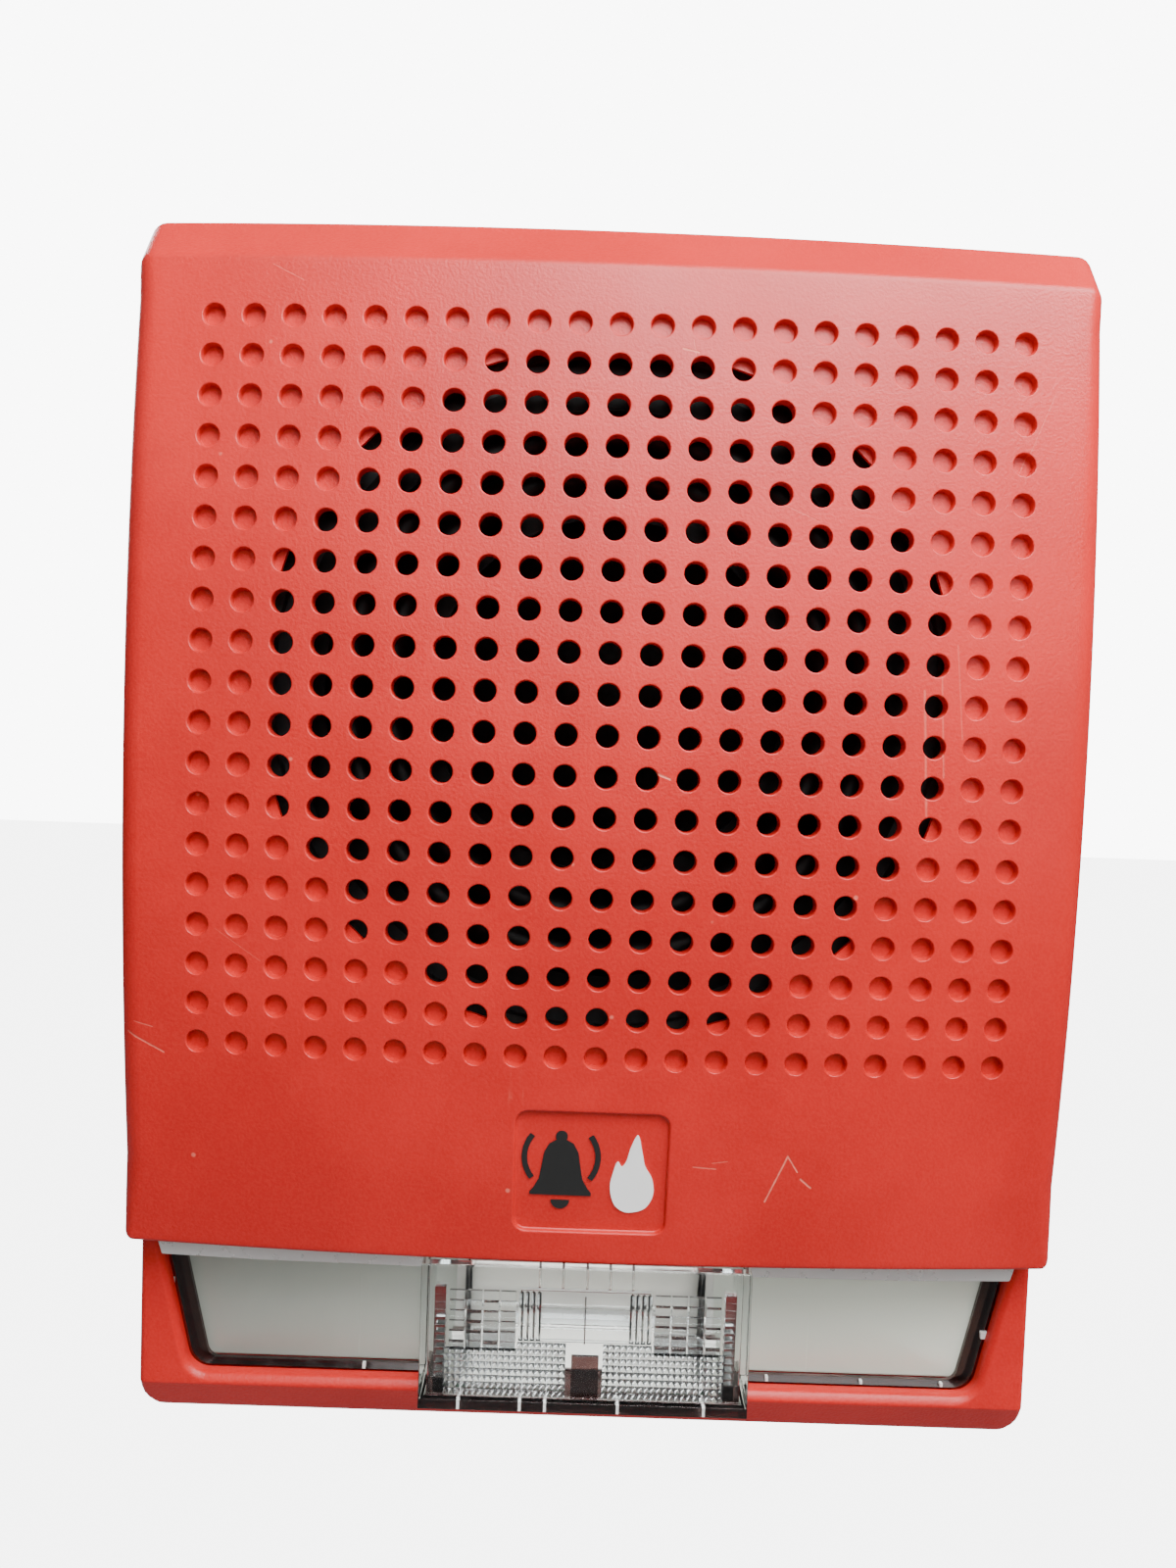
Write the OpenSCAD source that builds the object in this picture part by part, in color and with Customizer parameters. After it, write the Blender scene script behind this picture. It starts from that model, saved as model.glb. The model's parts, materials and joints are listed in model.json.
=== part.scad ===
// Wall-mounted fire alarm speaker strobe.
// +X is to the right, +Y goes into the wall and +Z is up. The wall face is the plane Y = 0.
// The origin is on the wall, on the axis of the loudspeaker.

/* [Cover] */
// Width of the cover
body_w = 127; // [120:1:156]
// Height of the cover from the loudspeaker axis to its top
top_h = 61.2; // [58:0.2:74]
// Height from the loudspeaker axis down to the step over the strobe
step_h = 76.4; // [74:0.2:92]
// Height from the loudspeaker axis down to the bottom of the cover
bottom_h = 103.8; // [102:0.2:125]
// Depth of the cover from the wall to the highest point of its face
depth = 25.4; // [24.6:0.2:31]
// Thickness of the side walls
wall = 2.2; // [1.6:0.1:2.8]
// Thickness of the front plate
face_t = 2.8; // [2.6:0.1:3.4]
// Radius of the curved front face
face_r = 450; // [400:10:900]
// Radius of the corners in the front view
corner_r = 3.6; // [1:0.1:6]
// Height of the bevel along the top edge
top_bevel = 6; // [3:0.1:8]
// Depth of the bevel along the top edge
top_bevel_run = 4.6; // [2:0.1:6]

/* [Grille] */
// Distance between neighbouring grille holes
hole_pitch = 5.25; // [5:0.05:5.4]
// Radius of a grille hole
hole_r = 1.48; // [1:0.02:1.8]
// Holes on each side of the middle column
hole_cols = 10; // [6:1:10]
// Holes above and below the middle row
hole_rows = 9; // [6:1:9]
// Depth of a blind hole
blind_depth = 1.5; // [0.8:0.1:1.7]
// Radius of the round pocket behind the open holes
pocket_r = 44.4; // [38:0.1:45]
// Front plate left in front of the pocket
pocket_face_t = 1.8; // [1.5:0.1:2]

/* [Pictogram field] */
// Width of the recessed field
badge_w = 20.2; // [16:0.2:26]
// Height of the recessed field
badge_h = 16.8; // [12:0.2:18]
// Height of the middle of the field, below the loudspeaker axis
badge_drop = 63.2; // [60:0.2:64]
// Depth of the field below the face
badge_depth = 0.7; // [0.4:0.1:1]
// Thickness of the inlaid symbols
inlay_t = 0.25; // [0.2:0.05:0.35]

/* [Strobe frame] */
// Distance from the wall to the front of the frame round the strobe
rim_depth = 12.4; // [11.6:0.1:14]
// Thickness of the frame's front plate
rim_t = 2; // [1.6:0.1:2.4]
// Width of the strobe opening at its top
opening_top_w = 121.8; // [100:0.2:122]
// Width of the strobe opening at its bottom
opening_bottom_w = 111.8; // [90:0.2:113]
// Depth of the lower edge of the opening, below the loudspeaker axis
opening_bottom_h = 97.6; // [96.8:0.1:99]
// Radius of the lower corners of the opening
opening_r = 3.2; // [1:0.1:5]

/* [Strobe] */
// Width of the prism block in the middle of the window
lens_w = 44.4; // [40:0.2:50]
// Distance from the wall to the front of the prism block
lens_depth = 21.2; // [19:0.1:22]
// Gap between the prism block and the lower edge of the opening
lens_gap = 1.1; // [0.9:0.1:1.5]
// Thickness of the clear walls
lens_wall = 2; // [1.4:0.1:2.4]
// Length of the flash tube
tube_len = 33; // [26:0.5:34]
// Radius of the flash tube
tube_r = 1.6; // [1.2:0.1:2]

/* [Loudspeaker] */
// Radius of the basket's mounting flange
flange_r = 49; // [46:0.5:50]
// Inner radius of the mounting flange
flange_in_r = 39; // [36:0.5:42]
// Outer radius of the cone
cone_r = 25; // [22:0.5:28]
// Radius of the magnet
magnet_r = 21; // [18:0.5:22]
// Thickness of the magnet
magnet_t = 8; // [6:0.5:12]
// Radius of the voice coil's former
former_r = 8.7; // [8:0.1:9]
// Travel of the cone each way
cone_travel = 1; // [0.5:0.1:1.2]

/* [Base] */
// Thickness of the base plate
base_t = 2.6; // [2.1:0.02:3.2]
// Spacing of the wall box's screws, both ways
box_spacing = 85; // [80:0.5:90]
// Radius of the holes for the wall box's screws
box_hole_r = 2.2; // [2:0.05:2.5]

/* [Circuit boards] */
// Thickness of the circuit boards
board_t = 1.6; // [1.2:0.1:2]
// Radius of the flash capacitor
capacitor_r = 5.4; // [4:0.1:5.6]
// Travel of the candela selector
candela_travel = 6; // [3:0.5:8]

/* [Hidden] */

// Clearances
seam = 0.5;          // between the cover's back edge and the base plate
slide_gap = 0.35;    // between the cover and what it slips over
window_gap = 0.3;    // between the strobe window and the edge of its opening
screw_gap = 0.02;    // round a screw's thread in its hole
shaft_gap = 0.05;    // round a turning or sliding shaft
coil_gap = 0.4;      // each side of the voice coil
eps = 0.01;

// Cover
half_w = body_w / 2;
in_w = half_w - wall;
back_y = -base_t - seam;
rim_y = -rim_depth;
face_centre_z = (top_h - step_h) / 2;
face_axis_y = face_r - depth;
foot_bevel = [2.5, 4.7];

// Distance of the curved face, moved back by t, from the wall at height z
function face_y(z, t = 0) = face_axis_y - sqrt(pow(face_r - t, 2) - pow(z - face_centre_z, 2));

// Points of a polygon with its corners rounded: each corner is [x, y, radius]
function unit(v) = v / norm(v);
function corner_arc(a, b, c, r, steps = 5) =
  let (u = unit(a - b), v = unit(c - b), half = acos(u * v) / 2)
  let (m = b + unit(u + v) * r / sin(half), start = b + u * r / tan(half) - m, turn = 180 - 2 * half)
  let (side = u.x * v.y - u.y * v.x > 0 ? -1 : 1)
  [for (i = [0:steps]) let (a = side * turn * i / steps)
    m + [start.x * cos(a) - start.y * sin(a), start.x * sin(a) + start.y * cos(a)]];
function rounded(points) = [
  for (i = [0:len(points) - 1])
    let (n = len(points), p = points[i], q = [p.x, p.y])
    let (before = points[(i + n - 1) % n], after = points[(i + 1) % n])
    each (p.z > 0 ? corner_arc([before.x, before.y], q, [after.x, after.y], p.z) : [q])
];

// A box from its lowest to its highest corner
module block(low, high) {
  translate(low) cube(high - low);
}
// An outline in X and Z, extruded from y0 to y1
module outline(y0, y1) {
  translate([0, y1, 0]) rotate([90, 0, 0]) linear_extrude(y1 - y0) children();
}
// A profile in Y and Z, extruded from x0 to x1
module profile(x0, x1, points) {
  translate([x0, 0, 0]) rotate([90, 0, 90]) linear_extrude(x1 - x0) polygon(points);
}
// A rod along Y from y0 to y1, at x and z
module rod(x, z, r, y0, y1) {
  translate([x, y1, z]) rotate([90, 0, 0]) cylinder(r = r, h = y1 - y0, $fn = 48);
}
// A cone along Y from radius r0 at y0 to r1 at y1
module taper(r0, r1, y0, y1) {
  translate([0, y0, 0]) rotate([-90, 0, 0]) cylinder(r1 = r0, r2 = r1, h = y1 - y0, $fn = 96);
}
// A washer or tube round the loudspeaker axis
module ring(r_in, r_out, y0, y1) {
  difference() {
    taper(r_out, r_out, y0, y1);
    taper(r_in, r_in, y0 - 1, y1 + 1);
  }
}
// A rectangle with round corners
module round_rect(x0, z0, x1, z1, r) {
  translate([x0 + r, z0]) square([x1 - x0 - 2 * r, z1 - z0]);
  translate([x0, z0 + r]) square([x1 - x0, z1 - z0 - 2 * r]);
  for (x = [x0 + r, x1 - r], z = [z0 + r, z1 - r])
    translate([x, z]) circle(r = r, $fn = 48);
}
// A pan-head screw along Y: its head's front at y, its shank going towards the wall
module screw(x, z, y, head_r, head_h, shank_r, length) {
  difference() {
    rod(x, z, head_r, y, y + head_h);
    block([x - head_r * 0.6, y - 1, z - 0.3], [x + head_r * 0.6, y + head_h / 2, z + 0.3]);
    block([x - 0.3, y - 1, z - head_r * 0.6], [x + 0.3, y + head_h / 2, z + head_r * 0.6]);
  }
  rod(x, z, shank_r, y + head_h - eps, y + head_h + length);
}

// Strobe opening, and the same shape grown by g
opening_top_h = step_h + 0.8;
function opening_points(g, top, r) =
  let (slope = (opening_top_w - opening_bottom_w) / 2 / (opening_bottom_h - opening_top_h))
  let (bottom = -opening_bottom_h - g, bx = opening_bottom_w / 2 - g * slope + g)
  let (tx = opening_bottom_w / 2 + (opening_bottom_h + top) * slope + g)
  rounded([[-tx, top, 0], [-bx, bottom, r], [bx, bottom, r], [tx, top, 0]]);

// Hinge of the cover
pivot_y = back_y - 1.5;
pivot_z = top_h - wall - 1.8;
pin_r = 1;
hook_r = 1.9;
hook_x = 39;
hook_w = 4;
cheek_w = 2.2;
cheek_gap = 0.2;

// Loudspeaker
gasket_front_y = face_y(flange_r, face_t) + 0.2;
gasket_t = 1.8;
flange_y = gasket_front_y + gasket_t;
flange_t = 1.2;
sheet = 1;
basket_back_y = 0.5;
top_plate_y = basket_back_y + 1.2;
top_plate_t = 4;
magnet_y = top_plate_y + top_plate_t;
pole_plate_y = magnet_y + magnet_t;
pole_plate_t = 4;
bowl_r = 22;
coil_t = 0.4;
pole_r = former_r - 0.3 - coil_gap;
gap_r = former_r + coil_t + coil_gap;
plate_r = magnet_r - 3;
base_hole_r = magnet_r + 7;
lead_slot = [[-7, -37], [7, -20]];
ear_screw_r = 1.4;
ear_post_r = 3.6;
ear_angle = 20;
ear_r = flange_r + 4;
ears = [for (a = [ear_angle, 180 - ear_angle, 180 + ear_angle, -ear_angle]) ear_r * [cos(a), sin(a)]];
spider_y = -3;
spider_r = 21;
spider_t = 0.35;
cone_back_y = -7;
surround_t = 0.5;
roll_r = (flange_in_r - cone_r - 3) / 4;
tab_x = 4;
tab_z = -44;
strip_t = 1.2;
tab_len = 5;
tab_y = flange_y + flange_t + strip_t;
tab_end_y = tab_y + tab_len + 0.05;

// Strobe unit
window_y = rim_y + rim_t + 0.1;
window_t = 1.2;
lens_bottom = -opening_bottom_h + lens_gap;
lens_top = -opening_top_h - 0.2;
lens_mid = (lens_top + lens_bottom) / 2;
panel_y = -8.4;
panel_t = 1.2;
panel_gap = 0.4;
strobe_board_y = -5.5;
board_x = 45;
board_top = -52;
board_bottom = -96;
post_head_r = 2.3;
post_head_gap = 0.5;
post_z = -step_h + wall + post_head_r + post_head_gap;
posts = [-50, -24, 24, 50];
post_r = 3;
standoff_r = 2.6;
small_screw_r = 1.1;
board_hole_r = 1.3;
board_edge = 8;
board_screws = [[-41, -56], [41, -56], [-41, -92], [41, -92]];
capacitor_x = 10;
capacitor_z = -61;
capacitor_len = 26;
inductor = [-16, -63];
lens_in_h = (lens_top - lens_bottom) / 2 - lens_wall;
dish_w = 32.8;
dish_front_y = -14;
dish_back_y = -6.8;
dish_r = 7.7;
dish_half_h = lens_in_h - 0.2;
dish_axis_y = dish_back_y - 1.2 - dish_r;
tube_y = -13.2;
electrode_w = 1.8;
electrode_x = tube_len / 2 + electrode_w / 2;
electrode_lead_r = 0.45;
panel_in_x = electrode_x + electrode_lead_r + panel_gap;
panel_foot_x = 30;
panel_foot_r = 1.5;
ledge_front_y = -15;
prism_x = 13.75;
prism_w = 9.5;
prism_pitch = 1.6;

// Audio board behind the base
audio_y = 4;
audio_back = audio_y + board_t;
audio_x = 36;
audio_top = -24;
audio_bottom = -47.5;
audio_screws = [[-33, -44.5], [-33, -27], [33, -27]];
tap = [30, -43.5];
rotor_r = 3;
rotor_shaft_r = 1.5;
rotor_front_y = -base_t - 0.6;
terminals = [3, 9, 15, 21];
terminal_bottom = -47.5;
terminal_top = -38.5;
terminal_back = audio_back + 12;

// Candela selector
candela = [-34, -63];
slider_w = 3;

// Field terminals
terminal_z = -43;
terminal_side = 3.4;
terminal_slot = [2.1, 3, 7.4];
terminal_screw_r = 1.8;

module grille_holes() {
  open_r = pocket_r + 0.4 * hole_r;
  for (i = [-hole_cols:hole_cols], j = [-hole_rows:hole_rows]) {
    x = i * hole_pitch;
    z = j * hole_pitch;
    is_open = norm([x, z]) < open_r;
    cut = is_open ? pocket_face_t + 0.5 : blind_depth;
    rod(x, z, hole_r, face_y(z) - 1, face_y(z) + cut);
  }
}

// A solid cylinder that leaves only what lies behind the curved face moved back by t
module face_limit(t) {
  translate([0, face_axis_y, face_centre_z]) rotate([0, 90, 0])
    cylinder(r = face_r - t, h = body_w + 20, center = true, $fn = 720);
}

module hook() {
  difference() {
    union() {
      translate([-hook_w / 2, pivot_y, pivot_z]) rotate([0, 90, 0])
        cylinder(r = hook_r, h = hook_w, $fn = 48);
      block([-hook_w / 2, pivot_y - hook_r, pivot_z], [hook_w / 2, back_y, top_h - wall + eps]);
    }
    translate([-hook_w, pivot_y, pivot_z]) rotate([0, 90, 0])
      cylinder(r = pin_r + shaft_gap, h = 2 * hook_w, $fn = 48);
  }
}

module front_cover() {
  inner_top = top_h - wall;
  front_y = -depth - 5;
  bevel_y = face_y(top_h - top_bevel) + top_bevel_run;
  bevel_fall = (bevel_y - front_y) * top_bevel / top_bevel_run;
  bevel_shift = wall * 0.4;
  color("#c8342a") {
    difference() {
      intersection() {
        profile(-half_w, half_w, [
          [back_y, top_h], [bevel_y, top_h], [front_y, top_h - bevel_fall],
          [front_y, -step_h], [rim_y, -step_h],
          [rim_y, -bottom_h + foot_bevel.y], [rim_y + foot_bevel.x, -bottom_h],
          [back_y, -bottom_h]
        ]);
        face_limit(0);
        outline(front_y, back_y) round_rect(-half_w, -bottom_h, half_w, top_h, corner_r);
      }
      intersection() {
        profile(-in_w, in_w, [
          [back_y + 1, inner_top], [bevel_y + bevel_shift, inner_top],
          [front_y + bevel_shift, inner_top - bevel_fall],
          [front_y + bevel_shift, -step_h + wall], [rim_y + rim_t, -step_h + wall],
          [rim_y + rim_t, -bottom_h + foot_bevel.y], [rim_y + rim_t + 1.8, -bottom_h + wall],
          [back_y + 1, -bottom_h + wall]
        ]);
        face_limit(face_t);
      }
      intersection() {
        taper(pocket_r, pocket_r, -depth, rim_y);
        face_limit(pocket_face_t);
      }
      grille_holes();
      difference() {
        outline(-depth - 1, rim_y)
          round_rect(-badge_w / 2, -badge_drop - badge_h / 2, badge_w / 2, -badge_drop + badge_h / 2, 1.4);
        face_limit(badge_depth);
      }
      outline(rim_y - 1, rim_y + rim_t + 1) polygon(opening_points(0, -opening_top_h, opening_r));
    }
    for (x = [-hook_x, hook_x])
      translate([x, 0, 0]) hook();
  }
}

// A thin inlay on the floor of the pictogram field
module inlay() {
  difference() {
    intersection() {
      outline(-depth, rim_y) translate([0, -badge_drop]) children();
      face_limit(badge_depth - inlay_t);
    }
    face_limit(badge_depth);
  }
}

// A sounding bell in its outline: dome, skirt, clapper and two arcs of sound
module badge_bell() {
  color("#161616") inlay() translate([-4, 0]) {
    translate([0, 1.2]) circle(r = 2.5, $fn = 48);
    translate([-2.5, -1.9]) square([5, 3.1]);
    translate([-3.5, -2.9]) square([7, 1.05]);
    translate([0, 3.6]) circle(r = 0.7, $fn = 24);
    translate([0, -3.4]) circle(r = 1, $fn = 24);
  }
}

module badge_flame() {
  color("#f4f2ee") inlay() translate([5.2, -0.6]) difference() {
    union() {
      translate([0, -1]) circle(r = 2.7, $fn = 48);
      polygon(rounded([[-2.55, -0.2, 0], [2.55, -0.2, 0], [1.6, 2.4, 0.8], [0.4, 5, 0.3], [-0.9, 2.6, 0.8]]));
    }
    translate([0, -1.9]) circle(r = 1.1, $fn = 36);
  }
}

module base_plate() {
  lip_y = -8;
  lip_t = 1.6;
  lip_x = in_w - slide_gap - lip_t / 2;
  cheek_x = hook_w / 2 + cheek_gap + cheek_w / 2;
  color("#8e2620") {
    difference() {
      union() {
        intersection() {
          profile(-half_w, half_w, [
            [0, top_h], [-0.6, top_h], [-base_t, top_h - 3.8], [-base_t, -bottom_h], [0, -bottom_h]
          ]);
          outline(-base_t - 1, 1) round_rect(-half_w, -bottom_h, half_w, top_h, corner_r);
        }
        for (s = [-1, 1])
          block([s * lip_x - lip_t / 2, lip_y, -65], [s * lip_x + lip_t / 2, -base_t + eps, 50]);
        for (x = [-hook_x, hook_x]) {
          for (s = [-1, 1])
            block([x + s * cheek_x - cheek_w / 2, pivot_y - 1.6, pivot_z - 3],
                  [x + s * cheek_x + cheek_w / 2, -base_t + eps, pivot_z + 0.9]);
          translate([x - cheek_x, pivot_y, pivot_z]) rotate([0, 90, 0])
            cylinder(r = pin_r, h = 2 * cheek_x, $fn = 48);
        }
        for (e = ears) rod(e.x, e.y, ear_post_r, flange_y + flange_t, -base_t + eps);
        for (x = posts) rod(x, post_z, post_r, window_y + window_t, -base_t + eps);
        for (p = board_screws) rod(p.x, p.y, standoff_r, strobe_board_y + board_t, -base_t + eps);
        for (p = audio_screws) rod(p.x, p.y, standoff_r, -eps, audio_y);
      }
      rod(0, 0, base_hole_r, -base_t - 1, 1);
      block([lead_slot[0].x, -base_t - 1, lead_slot[0].y], [lead_slot[1].x, 1, lead_slot[1].y]);
      for (x = [-1, 1], z = [-1, 1])
        rod(x * box_spacing / 2, z * box_spacing / 2, box_hole_r, -base_t - 1, 1);
      rod(tap.x, tap.y, rotor_r + 0.4, -base_t - 1, 1);
      rod(strobe_lead_x, strobe_lead_hole_z, strobe_lead_hole_r, -base_t - 1, 1);
      for (e = ears) rod(e.x, e.y, ear_screw_r + screw_gap, flange_y, -base_t - 1);
      for (x = posts) rod(x, post_z, small_screw_r + screw_gap, window_y, -base_t - 1);
      for (p = board_screws) rod(p.x, p.y, small_screw_r + screw_gap, strobe_board_y, -0.8);
      for (p = audio_screws) rod(p.x, p.y, small_screw_r + screw_gap, -1.2, audio_y + 1);
    }
  }
}

// Clear moulding: a window plate, a ledge under the step, and a hollow prism block
module strobe_window() {
  front = -lens_depth;
  half = lens_w / 2;
  plug = opening_points(-window_gap, -opening_top_h - window_gap, opening_r - window_gap);
  color([0.92, 0.94, 0.95, 0.45]) difference() {
    union() {
      difference() {
        outline(rim_y + 0.8, window_y + window_t) polygon(plug);
        outline(rim_y + 2.1, window_y + window_t + 1)
          polygon(opening_points(-2.4, -opening_top_h - 2.4, opening_r));
      }
      outline(window_y, window_y + window_t) difference() {
        intersection() {
          polygon(opening_points(1.4, post_z + 3.4, opening_r + 1));
          translate([slide_gap - in_w, -bottom_h]) square([2 * (in_w - slide_gap), bottom_h]);
        }
        polygon(opening_points(-2.4, -opening_top_h - 2.4, opening_r));
      }
      outline(ledge_front_y, rim_y + 0.9)
        polygon([[-60, -opening_top_h - 0.3], [-59.6, -opening_top_h - 1.7],
                 [59.6, -opening_top_h - 1.7], [60, -opening_top_h - 0.3]]);
      block([-half, front, lens_bottom], [half, window_y + window_t, lens_top]);
    }
    difference() {
      block([-half + lens_wall, front + lens_wall, lens_bottom + lens_wall],
            [half - lens_wall, window_y + window_t + 1, lens_top - lens_wall]);
      for (s = [-1, 1], k = [0:5]) translate([s * prism_x, 0, lens_top - 4.8 - k * prism_pitch])
        block([-prism_w / 2, front, 0], [prism_w / 2, front + lens_wall + 0.7, 0.6]);
    }
    for (x = posts) rod(x, post_z, small_screw_r + screw_gap, window_y - 1, window_y + window_t + 1);
  }
}

// One white panel beside the dish; side is -1 on the left and 1 on the right
module reflector_panel(side) {
  color("#d9dcd6") {
    outline(panel_y, panel_y + panel_t) intersection() {
      polygon(opening_points(-panel_gap, -opening_top_h + 0.6, 2.2));
      translate([side * (half_w + panel_in_x) - half_w, -bottom_h]) square([body_w, bottom_h]);
    }
    for (z = [-80, -93]) rod(side * panel_foot_x, z, panel_foot_r, panel_y + panel_t - eps, strobe_board_y);
  }
}
module reflector_panel_left() { reflector_panel(-1); }
module reflector_panel_right() { reflector_panel(1); }

// Trough behind the flash tube
module reflector_dish() {
  color("#dfe3e6") difference() {
    block([-dish_w / 2, dish_front_y, lens_mid - dish_half_h],
          [dish_w / 2, dish_back_y, lens_mid + dish_half_h]);
    translate([-dish_w / 2 - 1, dish_axis_y, lens_mid]) rotate([0, 90, 0])
      cylinder(r = dish_r, h = dish_w + 2, $fn = 96);
  }
}

module flash_tube() {
  color([0.9, 0.93, 0.95, 0.5]) translate([-tube_len / 2, tube_y, lens_mid]) rotate([0, 90, 0])
    difference() {
      cylinder(r = tube_r, h = tube_len, $fn = 48);
      translate([0, 0, 1]) cylinder(r = tube_r - 0.6, h = tube_len - 2, $fn = 48);
    }
}

module tube_electrodes() {
  color("#b9b9b4") for (s = [-1, 1]) {
    translate([s * electrode_x, tube_y, lens_mid]) rotate([0, 90, 0])
      cylinder(r = tube_r, h = electrode_w, center = true, $fn = 48);
    rod(s * electrode_x, lens_mid, electrode_lead_r, tube_y, strobe_board_y);
  }
}

module trigger_coil() {
  color("#2f2a26") {
    block([-8, strobe_board_y - 6, -66], [-1, strobe_board_y, -59]);
    rod(-4.5, -62.5, 2.4, strobe_board_y - 7.5, strobe_board_y - 5.9);
  }
}

module strobe_board() {
  color("#2e6b3a") difference() {
    block([-board_x - board_edge, strobe_board_y, board_bottom],
          [board_x + board_edge, strobe_board_y + board_t, board_top]);
    for (x = posts) rod(x, post_z, post_r + 0.4, strobe_board_y - 1, strobe_board_y + board_t + 1);
    for (p = board_screws) rod(p.x, p.y, board_hole_r, strobe_board_y - 1, strobe_board_y + board_t + 1);
  }
}

module flash_capacitor() {
  color("#20262f") translate([capacitor_x, strobe_board_y - capacitor_r, capacitor_z]) rotate([0, 90, 0]) {
    cylinder(r = capacitor_r, h = capacitor_len, $fn = 64);
    translate([0, 0, -0.8]) cylinder(r = capacitor_r - 1, h = 0.8 + eps, $fn = 64);
  }
}

module strobe_inductor() {
  flange = 4.6;
  winding = 3.2;
  color("#4a4d50") {
    rod(inductor.x, inductor.y, flange, strobe_board_y - 1.4, strobe_board_y);
    rod(inductor.x, inductor.y, winding, strobe_board_y - 7, strobe_board_y - 1.4 + eps);
    rod(inductor.x, inductor.y, flange, strobe_board_y - 8.2, strobe_board_y - 7 + eps);
  }
}

// Selector housing with a slot along X, and its slider
module candela_housing() {
  half = (candela_travel + slider_w) / 2 + 3;
  color("#26282b") difference() {
    block([candela.x - half, strobe_board_y - 5, candela.y - 3],
          [candela.x + half, strobe_board_y, candela.y + 3]);
    block([candela.x - half + 1.2, strobe_board_y - 3.6, candela.y - 1.8],
          [candela.x + half - 1.2, strobe_board_y - 1.2, candela.y + 1.8]);
    block([candela.x - half + 2.6, strobe_board_y - 6, candela.y - 1],
          [candela.x + half - 2.6, strobe_board_y - 3, candela.y + 1]);
  }
}
module candela_slider() {
  x = candela.x - candela_travel / 2;
  color("#e8e8e4") {
    block([x - slider_w / 2, strobe_board_y - 3.5, candela.y - 1.7],
          [x + slider_w / 2, strobe_board_y - 1.3, candela.y + 1.7]);
    block([x - slider_w / 2 + 0.5, strobe_board_y - 6.2, candela.y - 0.9],
          [x + slider_w / 2 - 0.5, strobe_board_y - 3.5 + eps, candela.y + 0.9]);
  }
}

module window_screws() {
  color("#9a9c9e") for (x = posts) screw(x, post_z, window_y - 1.4, post_head_r, 1.4, small_screw_r, 6);
}
module strobe_board_screws() {
  color("#9a9c9e") for (p = board_screws) screw(p.x, p.y, strobe_board_y - 1.2, 2.1, 1.2, small_screw_r, 3.4);
}

// Pressed steel basket: flange with four ears, conical bowl with windows, ledge for the spider
module speaker_basket() {
  bowl_y = flange_y + flange_t;
  rear = basket_back_y;
  ledge_y = spider_y + spider_t;
  function bowl_in_r(y) = flange_in_r - (flange_in_r - bowl_r) * (y - bowl_y) / (rear - bowl_y);
  color("#2b2c2e") difference() {
    union() {
      ring(flange_in_r, flange_r, flange_y, bowl_y);
      for (e = ears) rod(e.x, e.y, 4.4, flange_y, bowl_y);
      difference() {
        taper(flange_in_r + sheet, bowl_r + sheet, bowl_y - eps, rear);
        taper(flange_in_r, bowl_r, bowl_y - 2 * eps, rear + eps);
      }
      ring(gap_r + 2, bowl_r + sheet, rear, rear + 1.2);
      ring(spider_r - 2, bowl_in_r(ledge_y + sheet) + sheet * 0.9, ledge_y, ledge_y + sheet);
    }
    for (a = [45:90:315])
      rotate([0, a, 0]) translate([26, 0, 0]) block([0, bowl_y + 2.5, -9], [20, spider_y - 1.5, 9]);
    for (e = ears) rod(e.x, e.y, 1.6, flange_y - 1, bowl_y + 1);
  }
}

module speaker_gasket() {
  color("#3a3a38") ring(flange_r - 4.6, flange_r - 0.4, gasket_front_y, flange_y);
}

// Two rolls of the surround between the cone and the flange
module speaker_surround() {
  first = cone_r + 1.5;
  last = first + 4 * roll_r;
  color("#101112") translate([0, flange_y, 0]) rotate([-90, 0, 0]) rotate_extrude($fn = 96) {
    translate([cone_r - 1.5, -surround_t]) square([1.5 + 2 * surround_t, surround_t]);
    for (k = [0, 1]) translate([first + roll_r * (1 + 2 * k), 0]) difference() {
      circle(r = roll_r + surround_t / 2, $fn = 48);
      circle(r = roll_r - surround_t / 2, $fn = 48);
      translate([-2 * roll_r, 0]) square(4 * roll_r);
    }
    translate([last - surround_t / 2, -surround_t])
      square([flange_in_r + 3 - last + surround_t / 2, surround_t]);
  }
}

module speaker_cone() {
  color("#17181a") difference() {
    taper(cone_r, former_r, flange_y + 0.02, cone_back_y);
    taper(cone_r - 0.7, former_r - 0.7, flange_y - eps, cone_back_y - 0.3);
    taper(former_r, former_r, cone_back_y - 3, cone_back_y + 1);
  }
}

module dust_cap() {
  sag = 3;
  base_r = former_r + 1.4;
  cap_r = (base_r * base_r + sag * sag) / (2 * sag);
  y = cone_back_y - 2.4;
  color("#1b1c1f") intersection() {
    translate([0, y + cap_r - sag, 0]) difference() {
      sphere(r = cap_r, $fn = 96);
      sphere(r = cap_r - 0.5, $fn = 96);
    }
    taper(base_r, base_r, y - sag - 1, y);
  }
}

module coil_former() {
  color("#b5893f") ring(former_r - 0.3, former_r, cone_back_y - 1.6, magnet_y + cone_travel + 0.2);
}
module voice_coil() {
  color("#b4622d") ring(former_r + eps, former_r + coil_t, top_plate_y - cone_travel, magnet_y + cone_travel);
}

// Corrugated centring disc
module spider() {
  color("#c9a25a") translate([0, spider_y, 0]) rotate([-90, 0, 0]) rotate_extrude($fn = 96) {
    translate([former_r + 0.02, 0]) square([spider_r + 1.2 - former_r, spider_t]);
    for (k = [0:3]) translate([former_r + 2 + k * 2.7, -0.5]) square([1.2, 0.52]);
  }
}

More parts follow.
